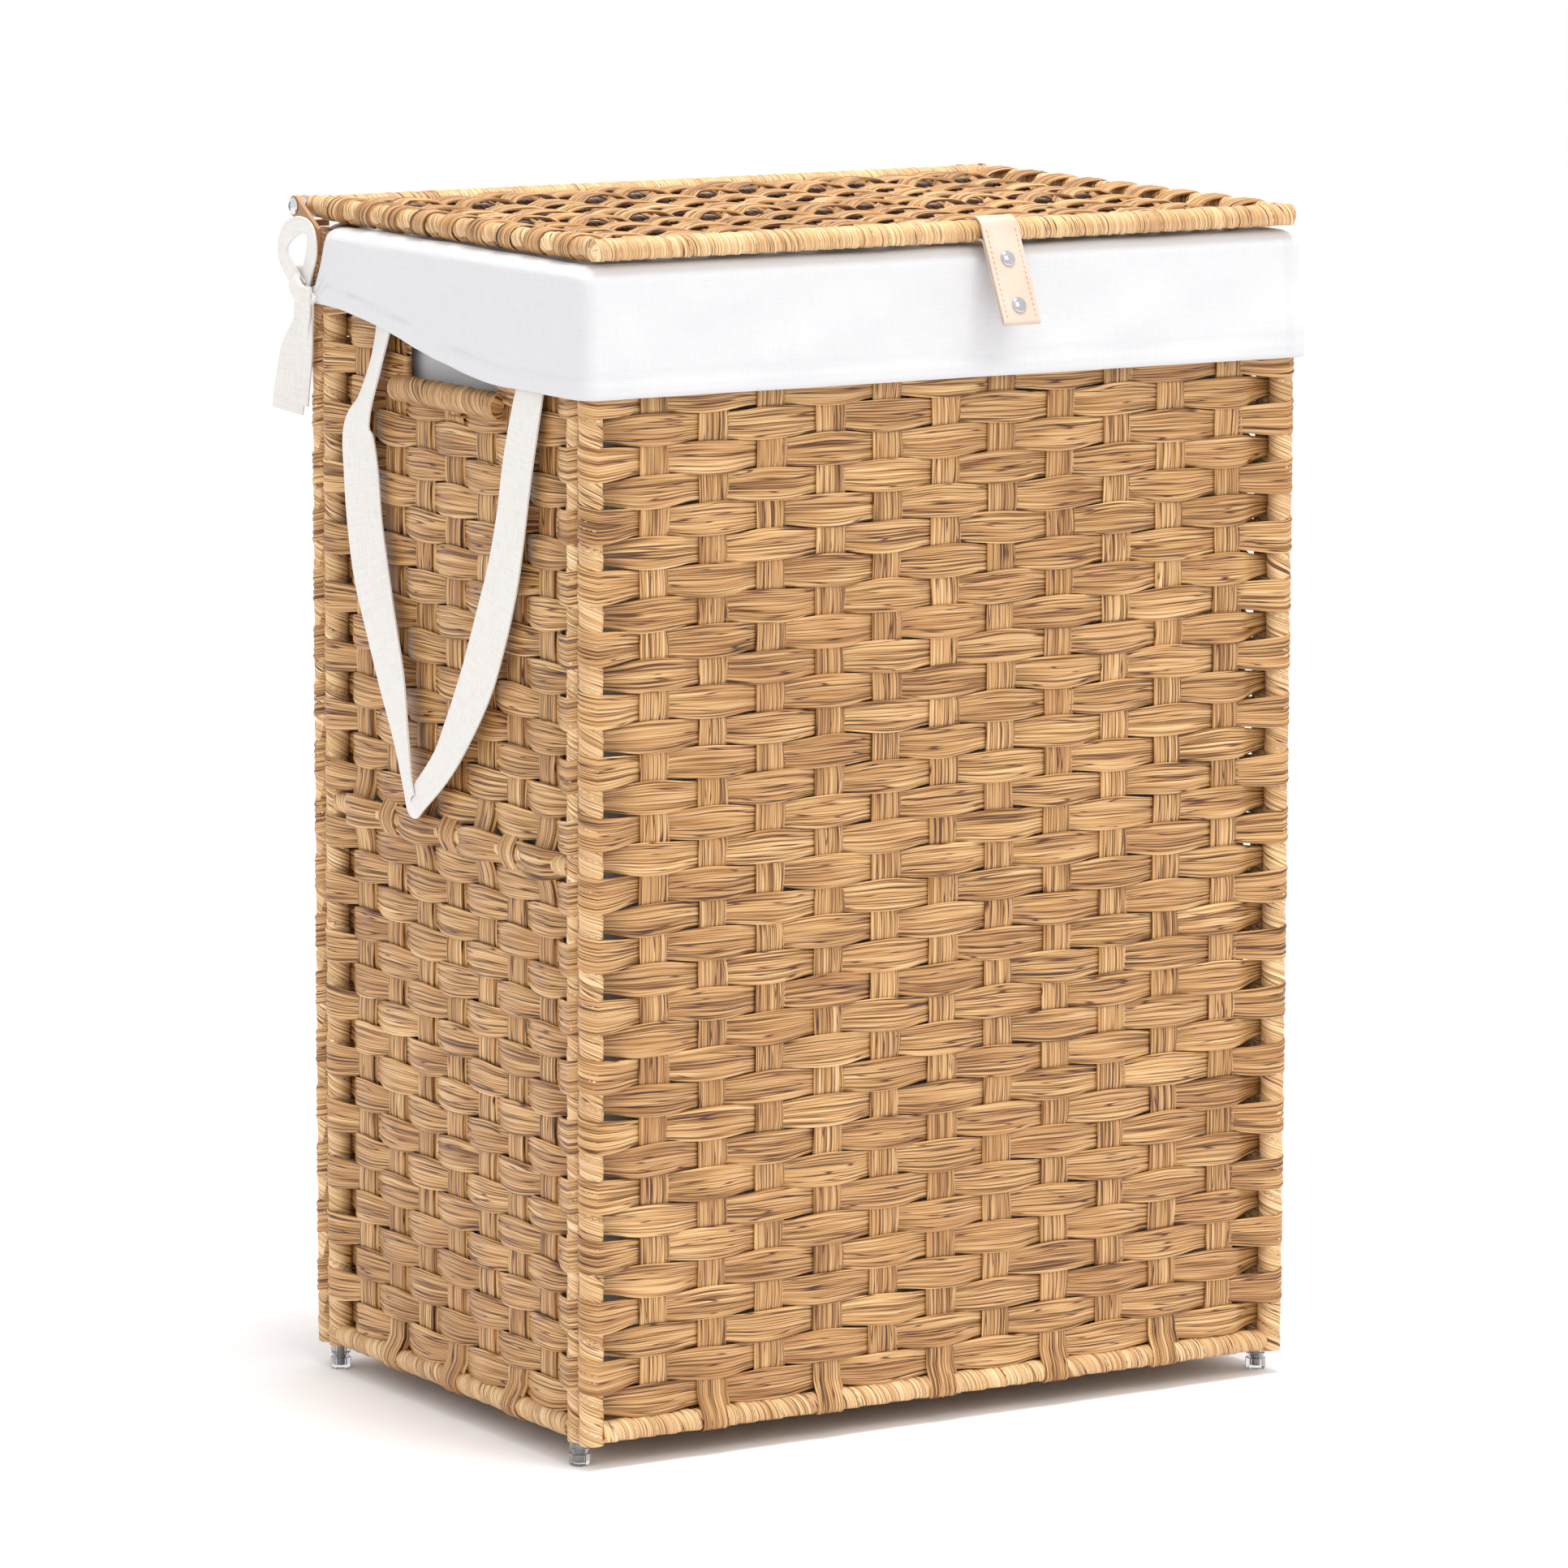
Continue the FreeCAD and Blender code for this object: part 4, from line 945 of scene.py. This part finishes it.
TIE_KNOT = [
    (-207.6, 126.5, 547, 7, 0), (-210.5, 127.5, 545.5, 9, 15), (-213.8, 131.5, 548, 10, 0),
    (-213.8, 136.5, 552.5, 10, 0), (-210.8, 139, 556, 9, 0), (-208, 136, 557, 8, 0),
    (-207.6, 130.5, 555, 8, 0),
]
for name, mirror in (("left", 1), ("right", -1)):
    shape = tape(TIE_LOOP, rng, mirror=mirror)
    loop = piece(f"tie_loop_{name}", [shape], TAPE_COTTON, "basket", [f"tie_{name}"])
    shape = tape(TIE_KNOT, rng, 40, mirror, 2.6 * MM)
    knot = piece(f"tie_knot_{name}", [shape], TAPE_COTTON, "basket")
    for number, points in enumerate(TIE_TAILS, 1):
        shape = tape(points, rng, 60, mirror)
        tail = piece(f"tie_tail_{name}_{number}", [shape], TAPE_COTTON, "basket")


# ---- leather tab

TAB_WIDTH = 21 * MM
TAB_LEAN = math.radians(25)
TAB_LENGTH = 50.5 * MM
LEATHER_THICK = 1.3 * MM
STITCHES = 17
FIRST_STITCH = 3 * MM
STITCH_GAP = 2.75 * MM
STITCH_PLACE = 8.3 * MM      # from the tab's middle
TAB_LOOP_R = BOUND_R + 0.25 * MM + LEATHER_THICK / 2
DOWN = np.array([0, -math.sin(TAB_LEAN), -math.cos(TAB_LEAN)])
TAB_OUT = np.array([0, -math.cos(TAB_LEAN), math.sin(TAB_LEAN)])
low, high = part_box("tab")
BAR = np.array([(low.x + high.x) / 2, LID_Y, LID_Z])


def tab_strip():
    """The tab's leather as one closed strip: down its front from the bar, round a tight fold at the
    bottom, up its back, which closes on the front, and over the bar on an arc."""
    fold_r = LEATHER_THICK / 2 + 0.1 * MM
    front = np.stack([np.linspace(0, TAB_LENGTH - fold_r, 40), np.full(40, TAB_LOOP_R)], -1)
    angle = np.linspace(0, np.pi, 10)[1:-1]
    fold = np.stack(
        [TAB_LENGTH - fold_r + fold_r * np.sin(angle), TAB_LOOP_R - fold_r + fold_r * np.cos(angle)], -1
    )
    t = np.linspace(1, 0, 40)[:, None]
    closing = ease(np.linspace(TAB_LENGTH, 0, 40) / (8 * MM))
    back = np.concatenate(
        [t * (TAB_LENGTH - fold_r), (-TAB_LOOP_R + closing * (2 * TAB_LOOP_R - 2 * fold_r))[:, None]], -1
    )
    angle = np.linspace(np.pi, 2 * np.pi, 24)[1:-1]
    over = np.stack([TAB_LOOP_R * np.sin(angle), TAB_LOOP_R * np.cos(angle)], -1)
    line = np.concatenate([front, fold, back, over])
    path = BAR + line[:, :1] * DOWN + line[:, 1:] * TAB_OUT
    ahead = np.roll(line, -1, 0) - np.roll(line, 1, 0)
    out = unit(ahead[:, :1] * TAB_OUT - ahead[:, 1:] * DOWN)
    v = np.array([-0.5, -0.5, -0.485, 0, 0.485, 0.5, 0.5, 0.485, 0, -0.485])
    h = np.array([-0.38, 0.38, 0.5, 0.5, 0.5, 0.38, -0.38, -0.5, -0.5, -0.5]) * LEATHER_THICK
    points = path[:, None] + v[None, :, None] * TAB_WIDTH * np.array([1.0, 0, 0])
    points = points + h[None, :, None] * out[:, None]
    rows, ring = points.shape[:2]
    closed = grid(rows + 1, ring, ring=True) % (rows * ring)
    lay = np.zeros((rows, ring, 3))
    lay[..., 0] = np.arange(rows)[:, None]
    lay[..., 1] = v * TAB_WIDTH / MM
    return outward(Part(points.reshape(-1, 3), closed, NO_TRIS, lay.reshape(-1, 3)))


def stud(centre, along, wide, tall, lift, out, sides=6):
    """A small closed spindle, such as one stitch: an oval section that swells and closes along its length."""
    side = np.cross(out, along)
    t = np.linspace(0, 1, 5)[:, None]
    q = (np.arange(sides) / sides * 2 * np.pi)[None]
    swell = np.sqrt(np.clip(1 - (2 * t - 1) ** 2, 0.02, 1))
    points = (
        centre + (t - 0.5)[..., None] * wide * along
        + (swell * np.cos(q))[..., None] * tall / 2 * side + (swell * np.sin(q) * lift)[..., None] * out
    )
    last = 4 * sides + np.arange(sides)
    fan = [(0, i + 1, i) for i in range(1, sides - 1)]
    fan += [(last[0], last[i], last[i + 1]) for i in range(1, sides - 1)]
    points = points.reshape(-1, 3)
    return outward(Part(points, grid(5, sides, ring=True), np.array(fan), np.zeros_like(points)))


def dome(centre, out, radius, height, rings=9, around=36):
    """A rivet's head: a low dome on a short rim, its height falling as the square root of one less r
    squared."""
    first = unit(np.cross(out, (1.0, 0.1, 0.0)))
    second = np.cross(out, first)
    profile = [(0.3, -0.3), (0.97, -0.3), (1.0, -0.05), (1.0, 0.12)]
    profile += [(math.cos(a), 0.12 + 0.88 * math.sin(a)) for a in np.linspace(0.2, 1.5, rings)]
    line = np.array(profile)
    q = np.arange(around) / around * 2 * np.pi
    spoke = np.cos(q)[:, None] * first + np.sin(q)[:, None] * second
    points = centre + line[:, :1, None] * radius * spoke[None] + line[:, 1:, None] * height * out
    return capped(points, [centre - 0.3 * height * out, centre + height * out])


piece("leather_tab", [tab_strip()], LEATHER, "tab", ["tab"], sharp_deg=40)
surface_out = TAB_LOOP_R + LEATHER_THICK / 2
stitches = []
for edge in (-1, 1):
    for step in range(STITCHES):
        down = FIRST_STITCH + STITCH_GAP * step
        middle = BAR + down * DOWN + surface_out * TAB_OUT + np.array([edge * STITCH_PLACE, 0, 0])
        slant = unit(DOWN + np.array([0.22, 0, 0]))
        stitches.append(stud(middle, slant, 1.9 * MM, 0.55 * MM, 0.24 * MM, TAB_OUT))
piece("tab_stitches", stitches, THREAD, "tab")
for name in ("upper", "lower"):
    low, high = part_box(f"tab_rivet_{name}")
    centre = (np.array(low) + np.array(high)) / 2
    down = float((centre - BAR) @ DOWN)
    head = BAR + down * DOWN + surface_out * TAB_OUT
    tail = BAR + down * DOWN + (TAB_LOOP_R - LEATHER_THICK * 1.75) * TAB_OUT
    parts = [dome(head, TAB_OUT, 4 * MM, 1.7 * MM), dome(tail, -TAB_OUT, 3.5 * MM, 0.6 * MM)]
    piece(f"tab_rivet_cap_{name}", parts, CHROME, "tab", [f"tab_rivet_{name}"])

# ---- feet

FOOT_FACETS = 12


def foot(x, y, top):
    """A clear foot turned about its own axis, with flat facets: a base with a rounded edge, a groove, an
    upper tier and a stem that goes up into the post. The profile is (radius, height) in millimetres."""
    profile = np.array([
        (4.3, 0), (4.9, 0.5), (5.25, 1.6), (5.2, 5.6), (4.1, 6.2), (4.0, 7.3), (4.9, 7.9), (4.9, 11.9),
        (3.7, 11.9), (3.7, top / MM),
    ])
    q = np.arange(FOOT_FACETS) / FOOT_FACETS * 2 * np.pi
    radius = profile[:, :1]
    points = np.stack(
        [x + radius * np.cos(q) * MM, y + radius * np.sin(q) * MM, profile[:, 1:] * MM + 0 * q], -1
    )
    return capped(points, [(x, y, 0), (x, y, top)])


for y_name in ("front", "back"):
    for x_name in ("left", "right"):
        low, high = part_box(f"foot_{y_name}_{x_name}")
        shape = foot((low.x + high.x) / 2, (low.y + high.y) / 2, high.z)
        piece(
            f"clear_foot_{y_name}_{x_name}", [shape], CLEAR, "basket",
            [f"foot_{y_name}_{x_name}"], sharp_deg=20,
        )

# ---- the nodes that stay as they are, with their materials

KEPT = {
    COATED_STEEL: ["front_frame", "back_frame", "left_frame", "right_frame", "base_frame", "lid_frame",
                   "hinge_plate_left", "hinge_plate_right"],
    CHROME: ["hinge_screw_left", "hinge_screw_right", "hinge_washer_left", "hinge_washer_right"],
    ZINC: ["corner_screws", "base_screws", "foot_screws"],
}
for material, names in KEPT.items():
    for name in names:
        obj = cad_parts[name]
        if not obj.material_slots:
            obj.data.materials.append(material)
        for slot in obj.material_slots:
            slot.material = material

# ---- floor, light and camera

floor_mesh = bpy.data.meshes.new("floor")
floor_mesh.from_pydata([(-9, -9, 0), (9, -9, 0), (9, 9, 0), (-9, 9, 0)], [], [(0, 1, 2, 3)])
floor = bpy.data.objects.new("floor", floor_mesh)
bpy.context.scene.collection.objects.link(floor)
# Matt white backdrop paper.
PAPER = coated_material("backdrop_paper", "#FCFCFE", "#FAFAFD", 2.0, 0.02, Roughness=0.85)
floor.data.materials.append(PAPER)

world = bpy.data.worlds.new("studio")
bpy.context.scene.world = world
world.use_nodes = True
sky = next(n for n in world.node_tree.nodes if n.type == "BACKGROUND")
sky.inputs["Color"].default_value = linear("#FFFFFF")
sky.inputs["Strength"].default_value = 1.03


def stand(obj, right, up, back, place):
    """Puts a lamp or camera at place, with its own X, Y and Z along right, up and back."""
    turn = np.eye(4)
    turn[:3] = np.stack([right, up, back, place], 1)
    obj.matrix_world = Matrix(turn.tolist())


def area_light(name, azimuth, elevation, distance, size, power, colour="#FFFFFF"):
    """A square soft light at these angles about the object, which points at its middle."""
    a, e = math.radians(azimuth), math.radians(elevation)
    away = np.array([math.sin(a) * math.cos(e), -math.cos(a) * math.cos(e), math.sin(e)])
    data = bpy.data.lights.new(name, "AREA")
    data.size = size
    data.energy = power
    data.color = linear(colour)[:3]
    lamp = bpy.data.objects.new(name, data)
    bpy.context.scene.collection.objects.link(lamp)
    right = unit(np.cross((0, 0, 1.0), away))
    up = np.cross(away, right)
    stand(lamp, right, up, away, np.array([0, 0, 0.3]) + away * distance)


area_light("key", 14, 42, 2.6, 0.8, 9, "#FFFBF4")
area_light("top", 10, 82, 2.4, 0.8, 44, "#FFFCF8")

AZIMUTH, ELEVATION, ROLL = (math.radians(v) for v in (-31.8, 9.0, 0.19))
back = np.array(
    [math.sin(AZIMUTH) * math.cos(ELEVATION), -math.cos(AZIMUTH) * math.cos(ELEVATION), math.sin(ELEVATION)]
)
level = np.array([math.cos(AZIMUTH), math.sin(AZIMUTH), 0])
rise = np.cross(back, level)
right = math.cos(ROLL) * level + math.sin(ROLL) * rise
up = math.cos(ROLL) * rise - math.sin(ROLL) * level
look = np.array([-0.0098, 0, 0.3016])
CAMERA_AWAY = 4.04
camera_data = bpy.data.cameras.new("camera")
camera_data.lens = 184.5
camera_data.sensor_width = 36
camera_data.clip_end = 100
camera = bpy.data.objects.new("camera", camera_data)
bpy.context.scene.collection.objects.link(camera)
stand(camera, right, up, back, look + back * CAMERA_AWAY)
bpy.context.scene.camera = camera
bpy.context.scene.view_settings.view_transform = "Standard"
